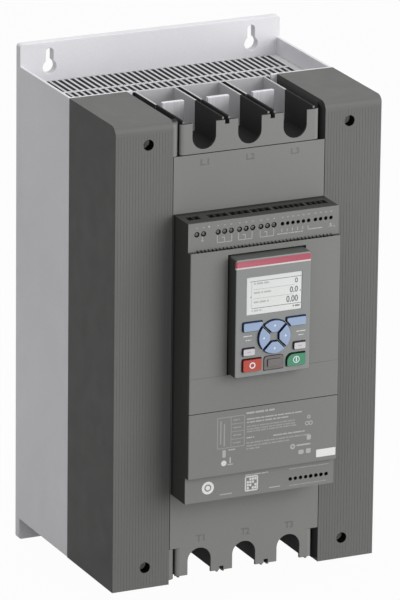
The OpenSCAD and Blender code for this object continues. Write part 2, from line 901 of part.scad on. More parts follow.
// Grooves that leave the fine ribs standing on the right side cover
module cover_grooves() {
    face_w = body_w / 2 - cover_x;
    groove_n = floor((face_w - 2 * edge_r) / rib_pitch);
    for (i = [0 : groove_n - 1]) {
        x = cover_x + face_w / 2 + (i - (groove_n - 1) / 2) * rib_pitch;
        block([x - groove_w / 2, cover_front - cut, -top - cut],
              [x + groove_w / 2, cover_front + groove_d, top - rib_margin]);
    }
}

// Tube behind a screw recess, down to the chassis
module screw_tube() {
    pin_y(screw_x, screw_z, cover_back, cover_front + cover_t / 2, tube_r);
}

module screw_tube_bore() {
    pin_y(screw_x, screw_z, recess_floor, cover_front - cut, recess_d / 2);
    pin_y(screw_x, screw_z, cover_back + cut, recess_floor - cut, screw_d / 2 + fit);
}

module side_cover() {
    color(cover_grey) difference() {
        union() {
            difference() {
                union() {
                    across(cover_x, body_w / 2) cover_section(0);
                    cover_arms();
                }
                cover_cavity();
            }
            both_ends() screw_tube();
        }
        both_ends() screw_tube_bore();
        cover_grooves();
        upright(-top - cut, top + cut) translate([body_w / 2, cover_front]) corner_waste(edge_r);
        both_ends() upright(seam_z, top + cut)
            translate([arm_x, cover_front]) mirror([1, 0]) roll_waste(roll_w, roll_d);
        block([arm_x - cut, cover_front - cut, -top - cut], [cover_x, cover_back + cut, low_lift - edge_z]);
    }
}

module left_cover() {
    mirror([1, 0, 0]) side_cover();
}

module right_cover() {
    side_cover();
}

// Middle cover, with bosses for the power board behind
module middle_cover() {
    boss_x = board_w / 2 - boss_d;
    boss_z = power_board_h / 2 - boss_d;
    color(middle_grey) union() {
        block([-middle_x, cover_front, -seam_z], [middle_x, cover_front + cover_t, seam_z - seam / 2]);
        both_sides() block([middle_x - cover_t, cover_front, -seam_z],
                           [middle_x, cover_front + return_depth, seam_z - seam / 2]);
        for (x = [-boss_x, boss_x], z = [-boss_z, boss_z])
            pin_y(x, z, board_front, cover_front + cover_t / 2, boss_d / 2);
    }
}

// One screw in each recess, its head on the recess floor
module cover_screws() {
    color(metal_grey) both_sides() both_ends() difference() {
        union() {
            pin_y(screw_x, screw_z, recess_floor, recess_floor - screw_head_t, recess_d / 2 - fit);
            pin_y(screw_x, screw_z, cover_back + boss_depth, recess_floor - cut, screw_d / 2);
        }
        translate([screw_x, recess_floor - screw_head_t, screw_z]) rotate([0, drive_turn, 0])
            block([-drive_len / 2, -cut, -drive_w / 2], [drive_len / 2, drive_depth, drive_w / 2]);
    }
}

// Control module

// Section of the front cover, with the steps of its two strips
module front_section(inset, joint) {
    polygon([
        [joint, module_z0 + inset], [foot_y + inset, module_z0 + inset],
        [foot_y + inset, foot_z + inset], [panel_y + inset, foot_z + inset],
        [panel_y + inset, strip_z - inset], [strip_y + inset, strip_z - inset],
        [strip_y + inset, module_z1 - inset], [joint, module_z1 - inset]
    ]);
}

// Pocket that the keypad sits in, open to the front
module keypad_bay(grow) {
    x = keypad_w / 2 + bay_gap + grow;
    y = panel_y - cut;
    block([keypad_x - x, y, option_z1 - grow], [keypad_x + x, bay_floor + grow, bay_top + grow]);
}

// Row of notches that vent the panel's ledge and the foot of the strip above it
module ledge_vents() {
    vent_n = floor((module_w - 4 * front_t) / vent_pitch);
    for (i = [0 : vent_n - 1]) {
        x = (i - (vent_n - 1) / 2) * vent_pitch;
        block([x - vent_w / 2, panel_y + vent_in, strip_z - front_t - cut],
              [x + vent_w / 2, strip_y + vent_rise, strip_z + vent_rise]);
    }
}

// Where the poles of a group lie across the module
function poles(group) = [for (i = [0 : group[1] - 1]) group[0] + i * group[2]];

// Screw openings of a group, through everything between two depths
module screw_openings(group, z, y_back, y_front) {
    for (x = poles(group)) pin_y(x, z, y_back, y_front, group[3] / 2);
}

// Cable entries of a group, between two heights
module cable_entries(group, z0, z1) {
    y = strip_y + entry_back;
    half = (group[2] - entry_wall) / 2;
    for (x = poles(group)) block([x - half, y - entry_len / 2, z0], [x + half, y + entry_len / 2, z1]);
}

module front_cover() {
    half = module_w / 2;
    color(module_grey) difference() {
        union() {
            difference() {
                across(-half, half) front_section(0, cover_joint);
                across(-half + front_t, half - front_t) front_section(front_t, cover_joint + cut);
            }
            difference() {
                keypad_bay(bay_t);
                block([-half, panel_y - 2 * cut, option_z1 - option_t], [half, panel_y, bay_top + 2 * bay_t]);
            }
            block([-half + front_t / 2, panel_y + front_t / 2, option_z0 - front_t],
                  [half - front_t / 2, panel_y + option_t + front_t, option_z1]);
        }
        keypad_bay(0);
        block([-half - cut, panel_y - cut, option_z0], [half + cut, panel_y + option_t, option_z1]);
        ledge_vents();
        for (group = upper_groups) {
            screw_openings(group, upper_pole_z, strip_y + front_t + cut, strip_y - cut);
            cable_entries(group, module_z1 - front_t - cut, module_z1 + cut);
        }
        screw_openings(lower_group, lower_pole_z, foot_y + front_t + cut, foot_y - cut);
        cable_entries(lower_group, module_z0 - cut, module_z0 + front_t + cut);
        both_sides() upright(foot_z, strip_z) translate([half, panel_y]) corner_waste(front_r);
    }
}

// Cover of the option slot, with a finger scoop under the keypad
module option_cover() {
    half = module_w / 2;
    scoop_r = scoop_h;
    color(module_grey) difference() {
        block([-half, panel_y, option_z0 + seam], [half, panel_y + option_t, option_z1]);
        frontal(panel_y + option_t - scoop_floor, option_t) translate([keypad_x, option_z1]) union() {
            translate([-scoop_w / 2 + scoop_r, -scoop_h]) square([scoop_w - 2 * scoop_r, 2 * scoop_h]);
            for (side = [-1, 1]) translate([side * (scoop_w / 2 - scoop_r), 0]) circle(scoop_r);
        }
        both_sides() upright(option_z0 - cut, option_z1 + cut)
            translate([half, panel_y]) corner_waste(front_r);
    }
}

// Tray that closes the control module at the back, with bosses for its board
module control_base() {
    half = module_w / 2;
    boss_x = half - 2 * boss_d;
    boss_z = module_h / 2 - 2 * boss_d;
    color(dark_grey) union() {
        difference() {
            block([-half, cover_joint, module_z0], [half, cover_front, module_z1]);
            block([-half + front_t, cover_joint - cut, module_z0 + front_t],
                  [half - front_t, cover_front - front_t, module_z1 - front_t]);
        }
        for (x = [-boss_x, boss_x], z = [-boss_z, boss_z])
            pin_y(x, module_shift + z, cover_front - front_t / 2, control_board_y, boss_d / 2);
    }
}

module control_board() {
    x = module_w / 2 - boss_d;
    z = module_h / 2 - boss_d;
    color(board_green) translate([0, control_board_y, module_shift]) block([-x, -board_t, -z], [x, 0, z]);
}

// Terminal block of a group between the board and the strip's front
module terminal_block(group, front, pole_z, z0, z1) {
    x0 = group[0] - group[2] / 2;
    x1 = group[0] + (group[1] - 0.5) * group[2];
    color(dark_grey) difference() {
        block([x0, front, z0], [x1, block_back, z1]);
        screw_openings(group, pole_z, front + well_depth, front - cut);
        if (z1 > 0) cable_entries(group, z1 - entry_depth, z1 + cut);
        if (z1 < 0) cable_entries(group, z0 - cut, z0 + entry_depth);
    }
}

module upper_terminals(index) {
    z1 = module_z1 - front_t;
    terminal_block(upper_groups[index], block_front_upper, upper_pole_z, z1 - block_h, z1);
}

module bus_terminals() {
    z0 = module_z0 + front_t;
    terminal_block(lower_group, block_front_lower, lower_pole_z, z0, z0 + block_h);
}

// Slotted screws with domed heads in a group's openings, the large ones up to the strip's face
module group_screws(group, front, z) {
    low_head = front + well_depth - screw_plate;
    head_y = group[3] == large_d ? front - front_t + head_drop : low_head;
    r = group[3] / 2 - fit / 2;
    for (x = poles(group)) difference() {
        union() {
            pin_y(x, z, front + well_depth, head_y + dome_h, r);
            translate([x, head_y + dome_h, z]) rotate([90, 0, 0])
                cylinder(h = dome_h, r1 = r, r2 = r * dome_share);
        }
        translate([x, head_y, z]) rotate([0, screw_turn, 0])
            block([-2 * r, -cut, -screw_slot_w / 2], [2 * r, screw_plate / 2, screw_slot_w / 2]);
    }
}

module terminal_screws() {
    color(metal_grey) {
        for (group = upper_groups) group_screws(group, block_front_upper, upper_pole_z);
        group_screws(lower_group, block_front_lower, lower_pole_z);
    }
}

// Keypad: outlines are drawn across and up from the middle of its lower edge

// Places an outline of the keypad on the module
module on_keypad(y_back, depth) {
    translate([keypad_x, 0, keypad_z0]) frontal(y_back, depth) children();
}

// Places an outline of the keypad's keys or window
module on_face(y_back, depth) {
    translate([face_shift, 0, 0]) on_keypad(y_back, depth) children();
}

// Rectangular key outline on the right half, grown by a margin
module side_key(len, height, v, grow) {
    half = height / 2 + grow;
    round_rect([key_reach - len - grow, v - half], [key_reach + grow, v + half], key_r);
}

// Soft key: its inner end follows the arrow keys' ring, grown there by a rim
module soft_key_outline(grow, rim) {
    difference() {
        side_key(soft_len, soft_h, soft_v, grow);
        translate([0, ring_v]) circle(ring_r + ring_clear - rim);
    }
}

// Quarter of the arrow keys' ring that lies above its middle
module arrow_outline(grow, rim) {
    half = ring_square / 2 - grow;
    tip = (ring_gap / 2 - grow) * sqrt(2);
    reach = 2 * ring_r;
    difference() {
        intersection() {
            circle(ring_r + rim);
            polygon([[0, tip], [reach, reach + tip], [-reach, reach + tip]]);
        }
        translate([-ring_r, -ring_r]) square([2 * ring_r, ring_r + half]);
    }
}

// Start key with its large corner towards the ring
module start_outline(grow) {
    x0 = key_reach - motor_len - grow;
    z1 = motor_v + motor_h / 2 + grow;
    difference() {
        side_key(motor_len, motor_h, motor_v, grow);
        translate([x0, z1]) rotate(180) corner_waste(start_r);
    }
}

module small_outline(grow) {
    side_key(small_len, small_h, small_v, grow);
}

module stop_outline(grow) {
    side_key(motor_len, motor_h, motor_v, grow);
}

// Port cover: rounded above, square at its hinge
module port_outline(grow) {
    half = port_w / 2 + grow;
    v0 = port_v - grow;
    round_rect([-half, v0], [half, port_v + port_h + grow], port_r);
    translate([-half, v0]) square([2 * half, port_h / 2]);
}

// Openings in the keypad's face for all its keys
module key_openings() {
    soft_key_outline(key_gap, key_gap);
    mirror([1, 0]) soft_key_outline(key_gap, key_gap);
    for (a = [0 : 90 : 270]) translate([0, ring_v]) rotate(a) arrow_outline(key_gap, key_gap);
    small_outline(key_gap);
    mirror([1, 0]) small_outline(key_gap);
    start_outline(key_gap);
    mirror([1, 0]) stop_outline(key_gap);
}

module keypad_case() {
    half = keypad_w / 2;
    ledge_x = window_w / 2 - window_ledge;
    ledge_v = window_h / 2 - window_ledge;
    color(dark_grey) difference() {
        on_keypad(keypad_back_y, keypad_back_y - keypad_front)
            round_rect([-half, 0], [half, keypad_h], case_r);
        on_keypad(keypad_back_y + cut, keypad_back_y + cut - face_back)
            round_rect([-half + case_side, case_side], [half - case_side, keypad_h - case_side], case_r);
        on_face(face_back + cut, case_t + 2 * cut) key_openings();
        on_face(keypad_front + window_t, window_t + cut)
            translate([-window_w / 2, window_v - window_h / 2]) square([window_w, window_h]);
        on_face(face_back + cut, case_t + 2 * cut)
            translate([-ledge_x, window_v - ledge_v]) square([2 * ledge_x, 2 * ledge_v]);
        on_face(keypad_front + port_t + fit, port_t + fit + cut) port_outline(fit);
        on_face(face_back + cut, case_t + 2 * cut)
            translate([-port_hole_w / 2, port_hole_v]) square([port_hole_w, port_hole_h]);
    }
}

// Back of the keypad with four posts that carry its board
module keypad_back() {
    half = keypad_w / 2 - case_side;
    post_x = half - post_d;
    color(dark_grey) union() {
        on_keypad(keypad_back_y, back_plate_t)
            round_rect([-half, case_side], [half, keypad_h - case_side], case_r);
        on_keypad(keypad_back_y - back_plate_t / 2, keypad_back_y - back_plate_t / 2 - keypad_board_back)
            for (x = [-post_x, post_x], v = [2 * post_d, keypad_h - 2 * post_d])
                translate([x, v]) circle(post_d / 2);
    }
}

module keypad_board() {
    half = keypad_w / 2 - case_side - fit;
    color(board_green) on_keypad(keypad_board_back, board_t)
        translate([-half, case_side + fit]) square([2 * half, keypad_h - 2 * (case_side + fit)]);
}

module display_panel() {
    color("#d8dad8") on_face(keypad_board_front, keypad_board_front - face_back)
        translate([-display_x, window_v - display_v]) square([2 * display_x, 2 * display_v]);
}

module display_window() {
    color("#e6e8e6") on_face(keypad_front + window_t, window_t - fit)
        translate([-window_w / 2, window_v - window_h / 2]) square([window_w, window_h]);
}

// Key with its cap through the face and its flange behind it
module key(tint) {
    color(tint) {
        on_face(flange_front + cut / 2, flange_front + cut / 2 - keypad_front + key_proud) children(0);
        on_face(flange_back, key_flange_t) children(1);
    }
}

module soft_key_right() {
    key(key_blue) {
        soft_key_outline(0, 0);
        soft_key_outline(key_flange, 0);
    }
}

module soft_key_left() {
    key(key_blue) {
        mirror([1, 0]) soft_key_outline(0, 0);
        mirror([1, 0]) soft_key_outline(key_flange, 0);
    }
}

module arrow_key(angle) {
    key(key_blue) {
        translate([0, ring_v]) rotate(angle) arrow_outline(0, 0);
        translate([0, ring_v]) rotate(angle) arrow_outline(0, key_flange);
    }
}

module local_key() {
    key("#b4b0b4") {
        small_outline(0);
        small_outline(key_flange);
    }
}

module help_key() {
    key("#b4b0b4") {
        mirror([1, 0]) small_outline(0);
        mirror([1, 0]) small_outline(key_flange);
    }
}

module stop_key() {
    key("#d2553f") {
        mirror([1, 0]) stop_outline(0);
        mirror([1, 0]) stop_outline(key_flange);
    }
}

module start_key() {
    key("#3f9068") {
        start_outline(0);
        start_outline(key_flange);
    }
}

// Rubber cover of the service port, with a round hinge below and a finger tab
module port_cover() {
    x = keypad_x + face_shift;
    color("#4a4a48") union() {
        on_face(keypad_front + port_t, port_t + port_proud) difference() {
            port_outline(0);
            translate([-port_w, port_v - cut]) square([2 * port_w, hinge_r + cut]);
        }
        across(x - port_w / 2, x + port_w / 2)
            translate([hinge_y, keypad_z0 + hinge_v]) circle(hinge_r);
        on_face(keypad_front, port_proud + tab_proud)
            translate([-tab_w / 2, hinge_v + tab_inset]) square([tab_w, tab_h]);
    }
}

chassis();
top_grille();
bottom_grille();
heat_sink();
thyristor(phases[0]);  // thyristor_1
thyristor(phases[1]);  // thyristor_2
thyristor(phases[2]);  // thyristor_3
terminal_bar(phases[0]);  // line_bar_1
terminal_bar(phases[1]);  // line_bar_2
terminal_bar(phases[2]);  // line_bar_3
mirror([0, 0, 1]) terminal_bar(phases[0]);  // load_bar_1
mirror([0, 0, 1]) terminal_bar(phases[1]);  // load_bar_2
mirror([0, 0, 1]) terminal_bar(phases[2]);  // load_bar_3
current_sensor(phases[0]);  // current_sensor_1
current_sensor(phases[1]);  // current_sensor_2
current_sensor(phases[2]);  // current_sensor_3
bypass_contactor();
power_board();
upper_terminal_base();
lower_terminal_base();
left_cover();
right_cover();
middle_cover();
upper_hood();
lower_hood();
cover_screws();
control_base();
front_cover();
option_cover();
control_board();
upper_terminals(0);  // supply_terminals
upper_terminals(1);  // relay_terminals_1
upper_terminals(2);  // relay_terminals_2
upper_terminals(3);  // relay_terminals_3
upper_terminals(4);  // input_terminals
upper_terminals(5);  // sensor_terminals
bus_terminals();
terminal_screws();
fan_frame(-fan_pitch / 2);  // fan_frame_1
fan_frame(fan_pitch / 2);  // fan_frame_2
fan_rotor(-fan_pitch / 2);  // fan_rotor_1
fan_rotor(fan_pitch / 2);  // fan_rotor_2
keypad_case();
keypad_back();
keypad_board();
display_panel();
display_window();
soft_key_left();
soft_key_right();
arrow_key(0);  // arrow_key_up
arrow_key(270);  // arrow_key_right
arrow_key(180);  // arrow_key_down
arrow_key(90);  // arrow_key_left
help_key();
local_key();
stop_key();
start_key();
port_cover();
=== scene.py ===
"""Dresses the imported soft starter: softened mouldings, print, keypad, display, studio and camera."""

import json
import logging
import math
from contextlib import contextmanager
from dataclasses import dataclass, field, replace
from enum import Enum
from functools import cache
from typing import Callable, ClassVar, Iterator, Optional, Sequence, Union

import bpy
from mathutils import Matrix, Vector


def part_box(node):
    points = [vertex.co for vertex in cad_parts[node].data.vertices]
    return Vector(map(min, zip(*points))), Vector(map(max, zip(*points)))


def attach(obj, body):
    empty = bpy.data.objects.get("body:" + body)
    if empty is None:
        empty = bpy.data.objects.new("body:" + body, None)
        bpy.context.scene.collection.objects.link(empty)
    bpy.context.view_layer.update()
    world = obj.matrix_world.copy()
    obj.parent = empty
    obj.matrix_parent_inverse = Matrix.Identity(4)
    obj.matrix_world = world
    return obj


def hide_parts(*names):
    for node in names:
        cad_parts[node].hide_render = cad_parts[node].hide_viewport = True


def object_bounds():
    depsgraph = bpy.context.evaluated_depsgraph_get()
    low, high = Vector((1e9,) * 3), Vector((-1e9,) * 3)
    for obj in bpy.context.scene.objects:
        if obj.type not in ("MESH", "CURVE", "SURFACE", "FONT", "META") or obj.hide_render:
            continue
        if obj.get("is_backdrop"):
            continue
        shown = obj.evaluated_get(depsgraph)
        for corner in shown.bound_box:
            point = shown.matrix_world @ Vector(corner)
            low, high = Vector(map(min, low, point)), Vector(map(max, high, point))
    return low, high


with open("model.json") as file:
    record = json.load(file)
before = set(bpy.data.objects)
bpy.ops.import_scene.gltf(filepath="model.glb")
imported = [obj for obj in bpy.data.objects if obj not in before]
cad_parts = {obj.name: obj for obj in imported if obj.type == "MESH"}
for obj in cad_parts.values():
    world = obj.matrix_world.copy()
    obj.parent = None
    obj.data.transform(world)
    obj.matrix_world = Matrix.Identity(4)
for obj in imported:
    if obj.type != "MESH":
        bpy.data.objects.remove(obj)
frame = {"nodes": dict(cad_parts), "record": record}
CAD_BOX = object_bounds()

LOG = logging.getLogger("soft_starter")
MM = 0.001
# Depths of the front faces of the casing, the covers and the control module, and the terminal base's top
CASING_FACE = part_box("chassis")[0].y
COVER_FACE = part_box("middle_cover")[0].y
PANEL_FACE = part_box("front_cover")[0].y
BASE_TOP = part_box("upper_terminal_base")[1].z
FRONT = (math.pi / 2, 0.0, 0.0)
MERGE_DISTANCE = 0.002 * MM
SAME_PLACE = 0.01 * MM
FLAT_ANGLE = math.radians(0.4)
SHARP_ANGLE = math.radians(32.0)
# Range that a noise texture's values mostly lie in
NOISE_SPAN = (0.3, 0.7)

Colour = tuple[float, float, float]
Place = tuple[float, float, float]
Span = tuple[float, float]
WHITE: Colour = (1.0, 1.0, 1.0)
Value = Union[float, tuple, bpy.types.NodeSocket]
Test = Callable[[Sequence[Vector]], bool]


class Pick(str, Enum):
    """Kinds of mesh elements that are selected for an operator."""

    POINTS = "VERT"
    EDGES = "EDGE"
    FACES = "FACE"


class Body(str, Enum):
    """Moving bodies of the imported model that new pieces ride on."""

    STARTER = "starter"
    KEYPAD = "keypad"


class Slot(str, Enum):
    """Material slots of the record."""

    MIDDLE = "middle_plastic"
    MODULE = "module_plastic"
    KEYPAD = "keypad_plastic"
    DISPLAY = "display_cell"
    GLASS = "display_glass"


# Shader groups and finishes


class Graph:
    """Adds nodes to a shader tree and links them by socket."""

    def __init__(self, tree: bpy.types.NodeTree) -> None:
        """Keeps the tree that the nodes go into."""
        self.tree = tree

    def node(
        self, kind: str, inputs: Optional[dict[Union[str, int], Value]] = None, **settings: object
    ) -> bpy.types.Node:
        """Adds one node.

        Args:
            kind: The node's type name.
            inputs: A value or an output socket for each input socket.
            settings: The node's own properties.

        Returns:
            The new node.
        """
        made = self.tree.nodes.new(kind)
        for key, value in settings.items():
            setattr(made, key, value)
        self.feed(made, inputs or {})
        return made

    def feed(self, node: bpy.types.Node, inputs: dict[Union[str, int], Value]) -> None:
        """Links or sets a node's inputs.

        Args:
            node: The node.
            inputs: A value or an output socket for each input socket.
        """
        for key, value in inputs.items():
            if isinstance(value, bpy.types.NodeSocket):
                self.tree.links.new(value, node.inputs[key])
            else:
                node.inputs[key].default_value = value

    def place(self, group: bpy.types.NodeTree, **inputs: Value) -> bpy.types.Node:
        """Adds a node group with values for its named inputs.

        Args:
            group: The shader group.
            inputs: A value or an output socket for each named input.

        Returns:
            The group's node.
        """
        return self.node("ShaderNodeGroup", inputs, node_tree=group)

    def math(self, operation: str, first: Value, second: Value = 0.0) -> bpy.types.NodeSocket:
        """Adds a Math node.

        Args:
            operation: The Math node's operation.
            first: Its first value.
            second: Its second value.

        Returns:
            The result's socket.
        """
        return self.node("ShaderNodeMath", {0: first, 1: second}, operation=operation).outputs[0]

    def remap(self, value: Value, span: Span, onto: Span) -> bpy.types.NodeSocket:
        """Adds a clamped Map Range node.

        Args:
            value: The value to map.
            span: The range it comes in.
            onto: The range it goes out in.

        Returns:
            The result's socket.
        """
        inputs = {0: value, 1: span[0], 2: span[1], 3: onto[0], 4: onto[1]}
        return self.node("ShaderNodeMapRange", inputs).outputs[0]

    def mix(self, factor: Value, first: Value, second: Value, blend: str = "MIX") -> bpy.types.NodeSocket:
        """Adds a colour Mix node.

        Args:
            factor: How much of the second colour shows.
            first: The first colour.
            second: The second colour.
            blend: The blending mode.

        Returns:
            The colour's socket.
        """
        inputs = {0: factor, 6: first, 7: second}
        return self.node("ShaderNodeMix", inputs, data_type="RGBA", blend_type=blend).outputs[2]


def rgba(colour: Colour) -> tuple[float, float, float, float]:
    """Gives a colour its full alpha."""
    return (*colour, 1.0)


class Groups:
    """Shader groups that several finishes share, each built once."""

    @staticmethod
    def start(name: str, inputs: Sequence[tuple[str, float]], outputs: Sequence[str]) -> tuple:
        """Makes an empty group with float sockets.

        Args:
            name: The group's name.
            inputs: Names and defaults of its inputs.
            outputs: Names of its outputs.

        Returns:
            The group's graph, its input node and its output node.
        """
        tree = bpy.data.node_groups.new(name, "ShaderNodeTree")
        for label, value in inputs:
            socket = tree.interface.new_socket(label, in_out="INPUT", socket_type="NodeSocketFloat")
            socket.default_value = value
        for label in outputs:
            tree.interface.new_socket(label, in_out="OUTPUT", socket_type="NodeSocketFloat")
        graph = Graph(tree)
        return graph, graph.node("NodeGroupInput"), graph.node("NodeGroupOutput")

    @classmethod
    @cache
    def mould_grain(cls) -> bpy.types.NodeTree:
        """Spark-eroded grain of a mould: fine relief, uneven gloss and slow drifts of shade.

        Returns:
            The group, with Scale in and Shade, Gloss and Height out.
        """
        graph, given, out = cls.start("mould_grain", [("Scale", 1500.0)], ["Shade", "Gloss", "Height"])
        where = graph.node("ShaderNodeTexCoord").outputs["Object"]
        kind = "ShaderNodeTexNoise"
        scale = given.outputs["Scale"]
        fine = graph.node(kind, {"Vector": where, "Scale": scale, "Detail": 2.0, "Roughness": 0.6})
        patch = graph.node(kind, {"Vector": where, "Scale": 55.0, "Detail": 4.0, "Roughness": 0.62})
        drift = graph.node(kind, {"Vector": where, "Scale": 7.0, "Detail": 2.0})
        speck = graph.remap(fine.outputs[0], (0.35, 0.65), (-0.03, 0.03))
        shade = graph.remap(drift.outputs[0], NOISE_SPAN, (0.96, 1.04))
        tree = graph.tree
        tree.links.new(graph.math("ADD", shade, speck), out.inputs["Shade"])
        tree.links.new(patch.outputs[0], out.inputs["Gloss"])
        tree.links.new(fine.outputs[0], out.inputs["Height"])
        return tree

    @classmethod
    @cache
    def facing(cls) -> bpy.types.NodeTree:
        """Masks of the faces that look to the front and upwards, which the painted shade and light of sides
        and tops follow.

        Returns:
            The group, with Front and Top out.
        """
        graph, _, out = cls.start("facing", [], ["Front", "Top"])
        normal = graph.node("ShaderNodeTexCoord").outputs["Normal"]
        parts = graph.node("ShaderNodeSeparateXYZ", {0: normal})
        front = graph.remap(parts.outputs["Y"], (-0.6, -0.9), (0.0, 1.0))
        top = graph.remap(parts.outputs["Z"], (0.6, 0.9), (0.0, 1.0))
        graph.tree.links.new(front, out.inputs["Front"])
        graph.tree.links.new(top, out.inputs["Top"])
        return graph.tree

    @classmethod
    @cache
    def zone(cls) -> bpy.types.NodeTree:
        """Mask of a part of the object that is alike on the left and right, above and below, where a zone's
        colours go, most of them painted shade and light.

        Returns:
            The group, with Across, Back, Front and Up in and Inside out.
        """
        inputs = [("Across", 1.0), ("Back", 1.0), ("Front", -1.0), ("Up", 1.0)]
        graph, given, out = cls.start("zone", inputs, ["Inside"])
        parts = graph.node("ShaderNodeSeparateXYZ", {0: graph.node("ShaderNodeTexCoord").outputs["Object"]})
        across = graph.math("LESS_THAN", graph.math("ABSOLUTE", parts.outputs["X"]), given.outputs["Across"])
        before = graph.math("LESS_THAN", parts.outputs["Y"], given.outputs["Back"])
        behind = graph.math("GREATER_THAN", parts.outputs["Y"], given.outputs["Front"])
        level = graph.math("LESS_THAN", graph.math("ABSOLUTE", parts.outputs["Z"]), given.outputs["Up"])
        level_across = graph.math("MULTIPLY", across, level)
        in_depth = graph.math("MULTIPLY", before, behind)
        inside = graph.math("MULTIPLY", level_across, in_depth)
        graph.tree.links.new(inside, out.inputs["Inside"])
        return graph.tree

    @classmethod
    @cache
    def wells(cls) -> bpy.types.NodeTree:
        """Mask of four round wells, one in each quarter of the front, where shade and light are painted.

        Returns:
            The group, with Across, Up and Radius in and Inside out.
        """
        inputs = [("Across", 0.1), ("Up", 0.2), ("Radius", 0.005)]
        graph, given, out = cls.start("wells", inputs, ["Inside"])
        parts = graph.node("ShaderNodeSeparateXYZ", {0: graph.node("ShaderNodeTexCoord").outputs["Object"]})
        squares = []
        for axis, place in (("X", "Across"), ("Z", "Up")):
            aside = graph.math("ABSOLUTE", parts.outputs[axis])
            distance = graph.math("SUBTRACT", aside, given.outputs[place])
            squares.append(graph.math("MULTIPLY", distance, distance))
        away = graph.math("SQRT", graph.math("ADD", *squares))
        graph.tree.links.new(graph.math("LESS_THAN", away, given.outputs["Radius"]), out.inputs["Inside"])
        return graph.tree

    @classmethod
    @cache
    def edge_polish(cls) -> bpy.types.NodeTree:
        """Mask of softened edges, where a normal lies between the main directions, for their painted
        highlight.

        Returns:
            The group, with Edge out.
        """
        graph, _, out = cls.start("edge_polish", [], ["Edge"])
        normal = graph.node("ShaderNodeTexCoord").outputs["Normal"]
        parts = graph.node("ShaderNodeSeparateXYZ", {0: normal})
        sizes = [graph.math("ABSOLUTE", parts.outputs[i]) for i in range(3)]
        largest = graph.math("MAXIMUM", graph.math("MAXIMUM", sizes[0], sizes[1]), sizes[2])
        graph.tree.links.new(graph.remap(largest, (0.99, 0.8), (0.0, 1.0)), out.inputs["Edge"])
        return graph.tree

    @classmethod
    @cache
    def draw_lines(cls) -> bpy.types.NodeTree:
        """Fine lines along the height, as on drawn bar and extruded fins.

        Returns:
            The group, with Scale in and Shade and Height out.
        """
        graph, given, out = cls.start("draw_lines", [("Scale", 900.0)], ["Shade", "Height"])
        where = graph.node("ShaderNodeTexCoord").outputs["Object"]
        stretched = graph.node("ShaderNodeMapping", {"Vector": where, "Scale": (1.0, 1.0, 0.02)})
        inputs = {"Vector": stretched.outputs[0], "Scale": given.outputs["Scale"]}
        lines = graph.node("ShaderNodeTexNoise", {**inputs, "Detail": 3.0, "Roughness": 0.7})
        graph.tree.links.new(graph.remap(lines.outputs[0], NOISE_SPAN, (0.86, 1.08)), out.inputs["Shade"])
        graph.tree.links.new(lines.outputs[0], out.inputs["Height"])
        return graph.tree


@dataclass(frozen=True)
class Finish:
    """A surface that pieces are dressed in.

    Attributes:
        name: The material's name.
        colour: Its main colour.
    """

    name: str
    colour: Colour

    def material(self) -> bpy.types.Material:
        """Gives the finish as a material, built at its first use.

        Returns:
            The material.
        """
        if self.name in bpy.data.materials:
            return bpy.data.materials[self.name]
        material = bpy.data.materials.new(self.name)
        material.use_nodes = True
        material.node_tree.nodes.clear()
        graph = Graph(material.node_tree)
        shader = graph.node("ShaderNodeBsdfPrincipled")
        graph.node("ShaderNodeOutputMaterial", {"Surface": shader.outputs[0]})
        graph.feed(shader, self.surface(graph))
        return material

    def surface(self, graph: Graph) -> dict[str, Value]:
        """Builds what the shader shows.

        Args:
            graph: The material's graph.

        Returns:
            A value or a socket for each of the shader's inputs.
        """
        raise NotImplementedError


@dataclass(frozen=True)
class Zone:
    """Part of a piece that has colours of its own: painted shade in recesses and gaps, painted light on
    groove walls and in wells, or a plain colour.

    Attributes:
        colour: Its colour.
        side: Colour of its faces that don't look to the front, if it differs: painted shade, and paler
            painted light on the ribs' groove walls.
        across: How far it reaches to either side of the middle plane.
        back: Where it ends towards the wall.
        front: Where it ends towards the front.
        up: How far it reaches above and below the middle.
    """

    colour: Colour
    side: Optional[Colour] = None
    across: float = 1.0
    back: float = 1.0
    front: float = -1.0
    up: float = 1.0

    def mask(self, graph: Graph) -> bpy.types.NodeSocket:
        """Adds the zone's mask to a material.

        Args:
            graph: The material's graph.

        Returns:
            The mask's socket.
        """
        ends = {"Across": self.across, "Back": self.back, "Front": self.front, "Up": self.up}
        return graph.place(Groups.zone(), **ends).outputs["Inside"]


@dataclass(frozen=True)
class Wells:
    """Four screw wells, one in each quarter of the front, with painted shade on their walls and painted
    light on their deep end.

    Attributes:
        across: How far they stand to either side of the middle plane.
        up: How far they stand above and below the middle.
        radius: Their radius.
        end: Where their deep end begins.
        wall: Painted shade on their walls.
        floor: Painted light on their deep end.
    """

    across: float
    up: float
    radius: float
    end: float
    wall: Colour = (0.008, 0.008, 0.008)
    floor: Colour = (0.9, 0.9, 0.88)

    def tint(self, graph: Graph, around: Value) -> bpy.types.NodeSocket:
        """Paints shade and light into the wells of a material.

        Args:
            graph: The material's graph.
            around: The colour around them.

        Returns:
            The colour's socket.
        """
        wells = graph.place(Groups.wells(), Across=self.across, Up=self.up, Radius=self.radius)
        deep = Zone(self.floor, front=self.end).mask(graph)
        inner = graph.mix(deep, rgba(self.wall), rgba(self.floor))
        return graph.mix(wells.outputs["Inside"], around, inner)


